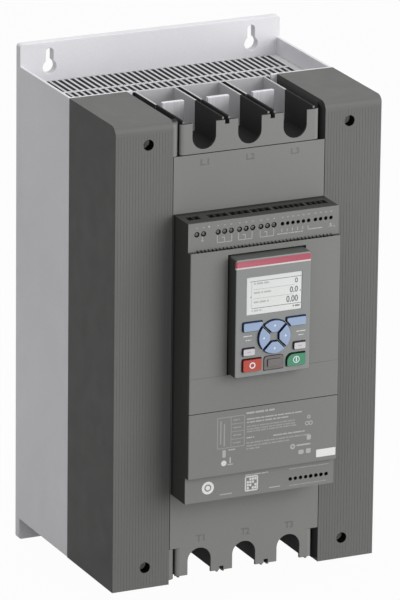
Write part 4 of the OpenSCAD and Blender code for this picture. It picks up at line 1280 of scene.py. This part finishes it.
@dataclass
class ModulePrint:
    """Generic print on the control module: terminal symbols, a plain rating field and small blank labels.

    Attributes:
        strip: Depth of the upper terminal strip's face.
        panel: Depth of the panel's face.
        foot: Depth of the lower strip's face.
        rule: Width of a symbol's lines. This and the next values are in millimetres.
        pitch: Spacing of the terminals.
        contacts: Outer terminals of the three change-over contacts.
        contact_rise: Lower and upper ends of the contacts.
        input_first: Stroke under the first input terminal.
        input_rise: Lower and upper ends of the inputs' strokes.
        tick_level: Height of the small ticks over the terminals.
        small_print: Height of the bars that stand for small print.
        corner: Radius of the plain squares' corners.
        table: The rating table's ends across and in height.
        table_middle: Line between its two columns.
        table_rows: How many rows it has.
        table_row: Height of a row.
        table_words: Height of the words in its first row.
        code: The square tile's ends across and in height.
        code_cells: Cells of its pattern in each direction.
        first_cell: Left and lower ends of its first cell.
        cell_pitch: Spacing of its cells across and in height.
        cell: Width and height of a cell.
        tile: Middle of the round tile.
    """

    strip: float = PANEL_FACE + 5.0 * MM
    panel: float = PANEL_FACE
    foot: float = PANEL_FACE + 6.0 * MM
    rule: float = 0.6
    pitch: float = 5.08
    contacts: tuple[Span, ...] = ((-45.0, -31.0), (-24.5, -11.4), (-3.6, 9.6))
    contact_rise: Span = (109.6, 116.3)
    input_first: float = 17.5
    input_rise: Span = (111.8, 114.8)
    tick_level: float = 125.2
    small_print: float = 1.2
    corner: float = 0.8
    table: tuple[Span, Span] = ((-44.7, -18.5), (-79.7, -51.2))
    table_middle: float = -31.5
    table_rows: int = 4
    table_row: float = 7.1
    table_words: float = -54.7
    code: tuple[Span, Span] = ((-13.8, -2.1), (-125.2, -112.2))
    code_cells: int = 4
    first_cell: Span = (-12.5, -124.0)
    cell_pitch: Span = (2.5, 2.8)
    cell: Span = (2.0, 2.2)
    tile: Span = (-50.6, -117.2)

    def contact(self, sheet: Sheet, x: Span) -> None:
        """Prints a change-over contact under three terminals.

        Args:
            sheet: The sheet that takes it.
            x: Its outer terminals in millimetres.
        """
        middle, (low, high) = (x[0] + x[1]) / 2, self.contact_rise
        sheet.line(x, low, self.rule)
        sheet.stroke(x[0], (low, high), self.rule)
        sheet.stroke(x[1], (low, high), self.rule)
        sheet.stroke(middle, (low, high - 1.8), self.rule)
        sheet.line((middle - 2.6, middle), high - 2.2, self.rule)

    def upper_strip(self) -> None:
        """Prints the symbols under the upper terminals and the small marks over them."""
        sheet = Sheet("terminal_symbols", self.strip, Finishes.PRINT)
        for x in self.contacts:
            self.contact(sheet, x)
        for index in range(TERMINAL_COUNTS["input_terminals"]):
            sheet.stroke(self.input_first + self.pitch * index, self.input_rise, self.rule)
        sheet.words((13.0, 38.0), 110.2, 0.9, 4.0)
        sheet.words((43.0, 57.0), 111.3, 0.9, 6.0)
        sheet.disc(65.0, 113.4, 0.9)
        sheet.line((63.2, 66.8), 111.6, self.rule)
        sheet.disc(68.6, 111.3, 0.6)
        sheet.stroke(-59.3, (112.0, 116.8), 0.7)
        sheet.disc(-59.3, 113.4, 1.1, 0.5)
        sheet.disc(-53.0, 125.3, 0.9)
        sheet.build()
        faint = Sheet("terminal_ticks", self.strip, Finishes.FAINT_PRINT)
        for place in terminal_places("bus_terminals"):
            faint.line((place / MM - 0.9, place / MM + 0.9), self.tick_level, 1.1)
        faint.build()

    def rating_field(self) -> None:
        """Prints the panel's rows of small bars and its plain table."""
        sheet = Sheet("rating_print", self.panel, Finishes.PRINT)
        sheet.words((-16.7, 10.8), -50.0, 1.7, 9.0)
        sheet.words((-16.2, 37.7), -55.7, self.small_print, 7.0)
        sheet.words((-16.2, 25.4), -58.7, self.small_print, 6.0)
        sheet.words((-16.3, -7.4), -73.1, self.small_print, 5.0)
        sheet.words((9.8, 40.8), -74.3, self.small_print, 7.5)
        sheet.build()
        faint = Sheet("rating_small_print", self.panel, Finishes.FAINT_PRINT)
        for right, level in ((32.3, -62.7), (32.4, -65.2), (32.4, -67.4)):
            faint.words((-16.2, right), level, self.small_print, 5.0)
        for left, right, level in ((-16.3, 46.0, -78.0), (-16.2, 25.8, -80.8), (-16.2, -3.1, -83.5)):
            faint.words((left, right), level, 1.3, 5.5)
        across, rise = self.table
        faint.outline(across, rise, 0.7)
        faint.stroke(self.table_middle, rise, self.rule)
        for row in range(1, self.table_rows):
            faint.line((self.table_middle, across[1]), rise[1] - self.table_row * row, self.rule)
        for row in range(self.table_rows):
            faint.words((-29.5, -21.0), self.table_words - self.table_row * row, self.small_print, 4.0)
        faint.stroke(-41.5, (-76.0, -54.0), 1.2)
        faint.stroke(-38.0, (-78.0, -57.0), 1.2)
        faint.build()

    def small_marks(self) -> None:
        """Prints the plain discs and squares beside the rating field, and sticks on the white labels."""
        sheet = Sheet("panel_marks", self.panel, Finishes.PRINT)
        sheet.disc(44.6, -61.5, 1.7, 0.9)
        sheet.disc(43.0, -67.4, 2.0, 1.2)
        sheet.disc(46.6, -67.4, 2.0, 1.2)
        sheet.patch((43.0, 47.0), (-83.0, -78.5), self.corner)
        sheet.disc(29.2, -87.5, 2.5, 1.0)
        sheet.line((33.0, 46.6), -87.0, 1.4)
        sheet.patch((35.0, 40.0), (-95.6, -91.6), self.corner)
        sheet.patch((42.4, 47.0), (-95.6, -91.2), self.corner)
        sheet.patch((-39.6, -36.4), (-88.5, -81.5), self.corner)
        sheet.line((-34.0, -27.0), -82.0, 1.0)
        sheet.stroke(-32.0, (-94.5, -89.0), 1.4)
        sheet.line((-34.6, -29.4), -95.6, 1.0)
        sheet.build()
        bright = Sheet("panel_bright_marks", self.panel, Finishes.BRIGHT_PRINT)
        bright.disc(-38.2, -93.8, 2.6)
        bright.build()
        label = Sheet("blank_label", self.panel, Finishes.LABEL, thickness=0.12 * MM)
        label.patch((52.5, 71.5), (-100.9, -93.7), 0.6)
        label.build()

    def lower_strip(self) -> None:
        """Prints the lower strip's marks and sticks on its two blank tiles."""
        sheet = Sheet("lower_strip_print", self.foot, Finishes.PRINT)
        sheet.words((-14.3, 8.4), -110.5, 1.1, 6.0)
        sheet.line((9.4, 20.4), -125.3, 0.9)
        sheet.line((-38.8, -27.1), -125.3, 0.9)
        sheet.build()
        faint = Sheet("lower_strip_ticks", self.foot, Finishes.FAINT_PRINT)
        faint.words((29.0, 68.0), -110.7, 0.9, 7.0)
        faint.words((29.4, 65.6), -126.2, 0.9, 5.0)
        faint.build()
        tile = Sheet("round_tile", self.foot, Finishes.LABEL, thickness=0.1 * MM)
        tile.disc(*self.tile, 5.9, 3.4)
        tile.disc(*self.tile, 2.2)
        tile.build()
        code = Sheet("square_tile", self.foot, Finishes.BRIGHT_PRINT, thickness=0.1 * MM)
        code.outline(*self.code, 1.2)
        for row in range(self.code_cells):
            for column in range(self.code_cells):
                if (row * 3 + column * 5) % 4 != 1:
                    left = self.first_cell[0] + self.cell_pitch[0] * column
                    low = self.first_cell[1] + self.cell_pitch[1] * row
                    code.patch((left, left + self.cell[0]), (low, low + self.cell[1]), 0.3)
        code.build()

    def build(self) -> None:
        """Prints all faces of the module."""
        self.upper_strip()
        self.rating_field()
        self.small_marks()
        self.lower_strip()


@dataclass
class PhaseMarks:
    """Marks of the three phases over the middle panel's openings: thin darker sheets, painted shade in place
    of a faint moulded relief.

    Attributes:
        face: Depth of the panel's face.
        width: Width of a mark in millimetres.
        upper: Lower and upper ends of the marks at the top.
        lower: Lower and upper ends of the marks at the bottom.
        centres: The three marks' middles.
    """

    face: float = COVER_FACE
    width: float = 8.4
    upper: Span = (171.5, 177.3)
    lower: Span = (-178.7, -172.2)
    centres: tuple[float, ...] = (-43.2, 1.0, 44.4)

    def build(self) -> None:
        """Lays the marks on the panel as thin darker sheets."""
        sheet = Sheet("phase_marks", self.face, Finishes.RELIEF_SHADE, slot=Slot.MIDDLE.value)
        for index, centre in enumerate(self.centres, start=1):
            span = (centre - self.width / 2, centre + self.width / 2)
            sheet.letters(f"L{index}", span, self.upper)
            sheet.letters(f"T{index}", span, self.lower)
        sheet.build()


@dataclass
class KeypadDress:
    """The keypad's printed film, its display and the marks on its keys.

    Attributes:
        margin: Bare face over the red stripe.
        stripe: Distance of the red stripe's lower edge from the top.
        line: Height of the pale line under it.
        wrap: How far the film goes round the face's soft edge.
        lift: Thickness of the film.
        window_front: Thickness of the display's clear front.
        ink_gap: Room between the front and the cell, where the picture lies.
        face: Depth of the case's front. This and the next places are read from the frame.
        bottom: The case's lower edge.
        top: Its upper edge.
        middle: Middle of the display's window across.
    """

    margin: float = 1.85 * MM
    stripe: float = 7.4 * MM
    line: float = 1.3 * MM
    wrap: float = 1.45 * MM
    lift: float = 0.05 * MM
    window_front: float = 0.2 * MM
    ink_gap: float = 0.1 * MM
    face: float = field(init=False)
    bottom: float = field(init=False)
    top: float = field(init=False)
    middle: float = field(init=False)

    def __post_init__(self) -> None:
        """Reads the keypad's place from the frame."""
        low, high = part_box("keypad_case")
        self.face, self.bottom, self.top = low.y, low.z, high.z
        low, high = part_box("display_window")
        self.middle = (low.x + high.x) / 2

    def across(self, *places: float) -> tuple[float, ...]:
        """Turns places from the middle of the keys and the window into places across, in millimetres."""
        return tuple(self.middle / MM + place for place in places)

    def up(self, *places: float) -> tuple[float, ...]:
        """Turns heights over the keypad's lower edge into heights, in millimetres."""
        return tuple(self.bottom / MM + place for place in places)

    def film(self, name: str, low: float, high: float, finish: Finish) -> None:
        """Cuts a band out of a copy of the case's face and lifts it off by the film's thickness.

        Args:
            name: The band's name.
            low: Its lower end.
            high: Its upper end.
            finish: Its finish.
        """
        case = bpy.data.objects["keypad_case_softened"]
        band = bpy.data.objects.new(name, case.data.copy())
        bpy.context.scene.collection.objects.link(band)
        cuts = (
            ((0.0, 0.0, low), (0.0, 0.0, 1.0), True, False),
            ((0.0, 0.0, high), (0.0, 0.0, 1.0), False, True),
            ((0.0, self.face + self.wrap, 0.0), (0.0, 1.0, 0.0), False, True),
        )
        with editing(band):
            for point, normal, inner, outer in cuts:
                bpy.ops.mesh.select_all(action="SELECT")
                bpy.ops.mesh.bisect(
                    plane_co=point, plane_no=normal, use_fill=True, clear_inner=inner, clear_outer=outer
                )
            bpy.ops.mesh.select_all(action="SELECT")
            bpy.ops.mesh.normals_make_consistent(inside=False)
            bpy.ops.transform.shrink_fatten(value=self.lift)
        only(band)
        bpy.ops.object.shade_smooth_by_angle(angle=SHARP_ANGLE)
        finish_piece(band, finish, Body.KEYPAD.value)

    def display(self) -> None:
        """Makes the display of a clear front, the picture and the pale cell, in the window's place."""
        low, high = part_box("display_window")
        span, rise = (low.x / MM, high.x / MM), (low.z / MM, high.z / MM)
        front = Sheet("display_front", high.y, Finishes.GLASS, Body.KEYPAD.value, Slot.GLASS.value)
        front.thickness, front.sink = high.y - low.y, -(high.y - low.y - self.window_front)
        front.patch(span, rise, 0.3)
        window = front.build()
        cell_front = low.y + self.window_front + self.ink_gap
        cell = Sheet("display_cell", high.y, Finishes.CELL, Body.KEYPAD.value, Slot.DISPLAY.value)
        cell.thickness, cell.sink = high.y - cell_front, 0.0
        cell.patch(span, rise, 0.3)
        sheet = cell.build()
        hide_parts("display_window")
        self.picture(cell_front)
        LOG.info("%s and %s stand for the display's window", window.name, sheet.name)

    def picture(self, face: float) -> None:
        """Draws the display's rows, rules and figures.

        Args:
            face: Depth of the cell's front.
        """
        across, up = self.across, self.up
        ink = Sheet("display_ink", face, Finishes.INK, Body.KEYPAD.value, Slot.DISPLAY.value)
        ink.line(across(-23.6, 26.1), up(87.4)[0], 0.55)
        ink.line(across(-21.8, 26.6), up(62.7)[0], 0.55)
        ink.letters("0", across(19.9, 22.9), up(81.4, 86.2))
        ink.letters("0.0", across(15.1, 23.1), up(72.9, 78.6))
        ink.letters("0.00", across(11.8, 23.3), up(64.3, 70.4))
        ink.words(across(18.2, 26.6), up(60.5)[0], 1.5, 4.0)
        ink.disc(across(-22.6)[0], up(73.4)[0], 0.9, sides=3)
        ink.disc(across(25.4)[0], up(74.0)[0], 0.9, sides=3)
        ink.build()
        faint = Sheet("display_faint_ink", face, Finishes.FAINT_INK, Body.KEYPAD.value, Slot.DISPLAY.value)
        for right, level in ((-3.6, 85.2), (-1.2, 76.8), (-4.7, 68.2)):
            faint.words(across(-19.8, right), up(level)[0], 1.7, 6.0)
        faint.line(across(-19.7, 19.7), up(79.9)[0], 0.45)
        faint.line(across(-20.0, 18.5), up(71.5)[0], 0.45)
        faint.stroke(across(-21.9)[0], up(63.5, 86.6), 0.4)
        faint.words(across(-21.8, -12.0), up(60.5)[0], 1.5, 4.0)
        faint.build()

    def face_words(self) -> None:
        """Prints the small bars over the two small keys."""
        sheet = Sheet(
            "keypad_words", self.face, Finishes.BRIGHT_PRINT, Body.KEYPAD.value, Slot.KEYPAD.value,
            thickness=0.03 * MM,
        )
        sheet.words(self.across(-29.5, -20.7), self.up(38.0)[0], 0.8, 4.6)
        sheet.words(self.across(-27.5, -21.7), self.up(34.2)[0], 0.7, 3.6)
        sheet.words(self.across(22.0, 31.4), self.up(36.5)[0], 0.8, 4.6)
        sheet.words(self.across(24.0, 29.6), self.up(33.0)[0], 0.7, 3.6)
        sheet.build()

    def key_sheet(self, node: str) -> tuple[Sheet, float, float]:
        """Starts a sheet of marks on a key.

        Args:
            node: The key.

        Returns:
            The sheet and the key's middle across and in height, in millimetres.
        """
        low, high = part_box(node)
        face = low.y + Mouldings.key_dish
        sheet = Sheet(f"{node}_mark", face, Finishes.KEY_MARK, node, Rows.SLOT_OF[node])
        return sheet, (low.x + high.x) / 2 / MM, (low.z + high.z) / 2 / MM

    def key_marks(self) -> None:
        """Marks the arrow keys, the stop and start keys and the two small keys."""
        for index, way in enumerate(("up", "right", "down", "left")):
            sheet, x, z = self.key_sheet(f"arrow_key_{way}")
            sheet.disc(x, z, 1.3, sides=3, turn=90.0 * index)
            sheet.build()
        sheet, x, z = self.key_sheet("stop_key")
        sheet.disc(x, z, 2.9, 1.9)
        sheet.build()
        sheet, x, z = self.key_sheet("start_key")
        sheet.disc(x, z, 3.2, 2.5)
        sheet.stroke(x, (z - 1.9, z + 1.9), 1.1)
        sheet.build()
        for node in ("help_key", "local_key"):
            sheet, x, z = self.key_sheet(node)
            sheet.finish = Finishes.KEY_WORD
            sheet.line((x - 2.0, x + 2.0), z, 1.0)
            sheet.build()

    def build(self) -> None:
        """Dresses the keypad."""
        joint = self.top - self.stripe
        self.film("keypad_stripe", joint, self.top - self.margin, Finishes.STRIPE)
        self.film("keypad_line", joint - self.line, joint, Finishes.PALE_LINE)
        self.display()
        self.face_words()
        self.key_marks()


# Studio


@dataclass(frozen=True)
class Lamp:
    """Soft square lamp.

    Attributes:
        name: The lamp's name.
        place: Where it stands.
        aim: The point it looks at.
        size: Side of its face.
        watts: Its power.
    """

    name: str
    place: Place
    aim: Place
    size: float
    watts: float

    def build(self) -> None:
        """Puts up the lamp."""
        data = bpy.data.lights.new(self.name, "AREA")
        data.energy, data.size = self.watts, self.size
        lamp = bpy.data.objects.new(self.name, data)
        bpy.context.scene.collection.objects.link(lamp)
        lamp.location = self.place
        ray = Vector(self.aim) - Vector(self.place)
        lamp.rotation_euler = ray.to_track_quat("-Z", "Y").to_euler()


@dataclass
class Studio:
    """Floor, soft lamps, world and the camera at the photograph's angle.

    Attributes:
        lens: Focal length in millimetres.
        sensor: Width of the picture's sensor in millimetres.
        eye: Where the camera stands.
        right: The picture's right.
        up: The picture's up.
        floor_size: Side of the square floor.
        floor_colour: Colour of the floor in the object's own light.
        ambient: Strength of the world's light on the object.
        white: How much of the floor is plain white to the camera.
        lamps: The soft lamps.
    """

    lens: float = 363.08
    sensor: float = 36.0
    eye: Place = (-2.20063, -4.79069, 1.70297)
    right: Place = (0.90619817, -0.42269816, 0.01145186)
    up: Place = (0.12166027, 0.28656635, 0.95030443)
    floor_size: float = 60.0
    floor_colour: Colour = (0.42, 0.42, 0.42)
    ambient: float = 0.48
    white: float = 0.97
    lamps: tuple[Lamp, ...] = (
        Lamp("right_lamp", (1.35, -2.2, 0.65), (0.0, -0.2, 0.0), 2.0, 51.0),
        Lamp("top_lamp", (0.0, -0.2, 2.2), (0.0, -0.1, 0.2), 1.6, 19.0),
    )

    def camera(self) -> None:
        """Makes the camera."""
        data = bpy.data.cameras.new("camera")
        data.lens = self.lens
        data.sensor_width = self.sensor
        data.clip_end = 200.0
        camera = bpy.data.objects.new("camera", data)
        bpy.context.scene.collection.objects.link(camera)
        right, up = Vector(self.right).normalized(), Vector(self.up).normalized()
        back = right.cross(up)
        turn = Matrix((right, up, back)).transposed().to_4x4()
        camera.matrix_world = Matrix.Translation(self.eye) @ turn
        bpy.context.scene.camera = camera

    @staticmethod
    def seen_directly(graph: Graph) -> bpy.types.NodeSocket:
        """Mask of the rays that show a background: from the camera, by a mirror or through glass.

        Args:
            graph: The material's or the world's graph.

        Returns:
            The mask's socket.
        """
        path = graph.node("ShaderNodeLightPath")
        shown = graph.math("MAXIMUM", path.outputs["Is Camera Ray"], path.outputs["Is Glossy Ray"])
        return graph.math("MAXIMUM", shown, path.outputs["Is Transmission Ray"])

    def world(self) -> None:
        """Makes a white world that lights the object at a plain level."""
        world = bpy.data.worlds.new("studio")
        bpy.context.scene.world = world
        world.use_nodes = True
        world.node_tree.nodes.clear()
        graph = Graph(world.node_tree)
        strength = graph.remap(self.seen_directly(graph), (0.0, 1.0), (self.ambient, 1.0))
        light = graph.node("ShaderNodeBackground", {"Color": rgba(WHITE), "Strength": strength})
        graph.node("ShaderNodeOutputWorld", {"Surface": light.outputs[0]})

    def floor(self) -> None:
        """Makes the pale floor, white to the camera apart from the object's soft shadow."""
        bpy.ops.object.select_all(action="DESELECT")
        bpy.ops.mesh.primitive_plane_add(size=self.floor_size, location=(0.0, 0.0, CAD_BOX[0].z))
        floor = bpy.context.active_object
        floor.name = "floor"
        material = bpy.data.materials.new("floor_white")
        material.use_nodes = True
        material.node_tree.nodes.clear()
        graph = Graph(material.node_tree)
        diffuse = graph.node("ShaderNodeBsdfDiffuse", {"Color": rgba(self.floor_colour)})
        glow = graph.node("ShaderNodeEmission", {"Color": rgba(WHITE), "Strength": 1.0})
        factor = graph.math("MULTIPLY", self.seen_directly(graph), self.white)
        mixed = graph.node("ShaderNodeMixShader", {0: factor, 1: diffuse.outputs[0], 2: glow.outputs[0]})
        graph.node("ShaderNodeOutputMaterial", {"Surface": mixed.outputs[0]})
        floor.data.materials.append(material)
        floor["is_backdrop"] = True

    def build(self) -> None:
        """Sets up the view, the floor, the world and the lamps."""
        bpy.context.scene.view_settings.view_transform = "Standard"
        self.camera()
        self.world()
        self.floor()
        for lamp in self.lamps:
            lamp.build()
        LOG.info("studio is set")


# Dressing of the CAD nodes


@dataclass
class Mouldings:
    """All CAD nodes with their finishes and softened edges.

    Attributes:
        slight: Width of the ribbed covers' edges.
        fine: Width of the terminal screws' edges.
        small: Width of the edges of thin mouldings and small parts.
        usual: Width of most other edges.
        broad: Width of the chassis' edges.
        keypad_round: Width of the rounding round the keypad's face.
        edge_reach: How far from the face's outline the ends of its edges lie at most.
        key_dish: Depth of a key's dish.
        key_dimple: Radius of an arrow key's dish.
    """

    slight: float = 0.08 * MM
    fine: float = 0.15 * MM
    small: float = 0.25 * MM
    usual: float = 0.4 * MM
    broad: float = 0.8 * MM
    keypad_round: float = 1.4 * MM
    edge_reach: float = 0.66 * MM
    key_dish: float = 0.22 * MM
    key_dimple: float = 2.6 * MM

    def keypad_front_edge(self, ends: Sequence[Vector]) -> bool:
        """Tells whether an edge runs round the front of the keypad's case.

        Args:
            ends: The edge's two ends.

        Returns:
            True for an edge of the face's outline.
        """
        low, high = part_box("keypad_case")

        def outer(point: Vector) -> bool:
            """Tells whether a point lies on the face's outline."""
            near = min(point.x - low.x, high.x - point.x, point.z - low.z, high.z - point.z)
            return abs(point.y - low.y) < SAME_PLACE and near < self.edge_reach

        return all(outer(point) for point in ends)

    def plan(self) -> list[Moulding]:
        """Lists every CAD node with its finish.

        Returns:
            The mouldings in the order they are dressed.
        """
        use = Finishes
        small, usual = self.small, self.usual
        face_round = Rounding(self.keypad_front_edge, self.keypad_round)
        dimpled = {"dish": self.key_dish, "dimple": self.key_dimple}
        plan = [
            Moulding("chassis", use.CHASSIS, self.broad),
            Moulding("top_grille", use.GRILLE, small),
            Moulding("bottom_grille", use.CHASSIS, small),
            Moulding("upper_terminal_base", use.TERMINAL_BASE, usual),
            Moulding("lower_terminal_base", use.TERMINAL_BASE, usual),
            Moulding("left_cover", use.COVER_LEFT, self.slight),
            Moulding("right_cover", use.COVER_RIGHT, self.slight),
            Moulding("middle_cover", use.MIDDLE, usual, joined=["lower_hood"]),
            Moulding("upper_hood", use.MIDDLE, usual),
            Moulding("front_cover", use.MODULE, small, partings=terminal_places()),
            Moulding("option_cover", use.MODULE, small),
            Moulding("control_base", use.BASE, usual),
            Moulding("keypad_case", use.KEYPAD, small, roundings=[face_round]),
            Moulding("port_cover", use.PORT, usual),
            Moulding("cover_screws", use.COVER_SCREW, small),
            Moulding("terminal_screws", use.SCREW, self.fine),
            Moulding("heat_sink", use.SINK),
            Moulding("power_board", use.BOARD),
            Moulding("control_board", use.BOARD),
            Moulding("keypad_board", use.BOARD),
            Moulding("bypass_contactor", use.INNER),
            Moulding("keypad_back", use.BASE),
            Moulding("display_panel", use.CELL),
        ]
        for number in (1, 2, 3):
            plan.append(Moulding(f"line_bar_{number}", use.BAR, usual))
            plan.append(Moulding(f"load_bar_{number}", use.BAR, usual))
            plan.append(Moulding(f"thyristor_{number}", use.INNER))
            plan.append(Moulding(f"current_sensor_{number}", use.INNER))
            plan.append(Moulding(f"relay_terminals_{number}", use.TERMINAL))
        for name in ("supply", "input", "sensor", "bus"):
            plan.append(Moulding(f"{name}_terminals", use.TERMINAL))
        for number in (1, 2):
            plan.append(Moulding(f"fan_frame_{number}", use.INNER, usual))
            plan.append(Moulding(f"fan_rotor_{number}", use.INNER, small))
        for way in ("up", "right", "down", "left"):
            plan.append(Moulding(f"arrow_key_{way}", use.KEY_BLUE, usual, **dimpled))
        keys = [("soft_key_left", use.KEY_BLUE), ("soft_key_right", use.KEY_BLUE)]
        keys += [("help_key", use.KEY_GREY), ("local_key", use.KEY_GREY)]
        keys += [("stop_key", use.KEY_RED), ("start_key", use.KEY_GREEN)]
        plan += [Moulding(name, finish, usual, dish=self.key_dish) for name, finish in keys]
        return plan

    def build(self) -> None:
        """Dresses every CAD node."""
        plan = self.plan()
        named = {node for row in plan for node in (row.node, *row.joined)}
        missing = set(frame["nodes"]) - named - {"display_window"}
        if missing:
            LOG.warning("no finish for %s", sorted(missing))
        for row in plan:
            row.dress()


def main() -> None:
    """Builds the studio and every sub-assembly."""
    logging.basicConfig(level=logging.INFO, format="%(message)s")
    Studio().build()
    Mouldings().build()
    KeypadDress().build()
    ModulePrint().build()
    PhaseMarks().build()
    boxes = {"cad": CAD_BOX, "visual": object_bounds()}
    boxes = {name: [list(corner) for corner in box] for name, box in boxes.items()}


if __name__ == "__main__":
    main()
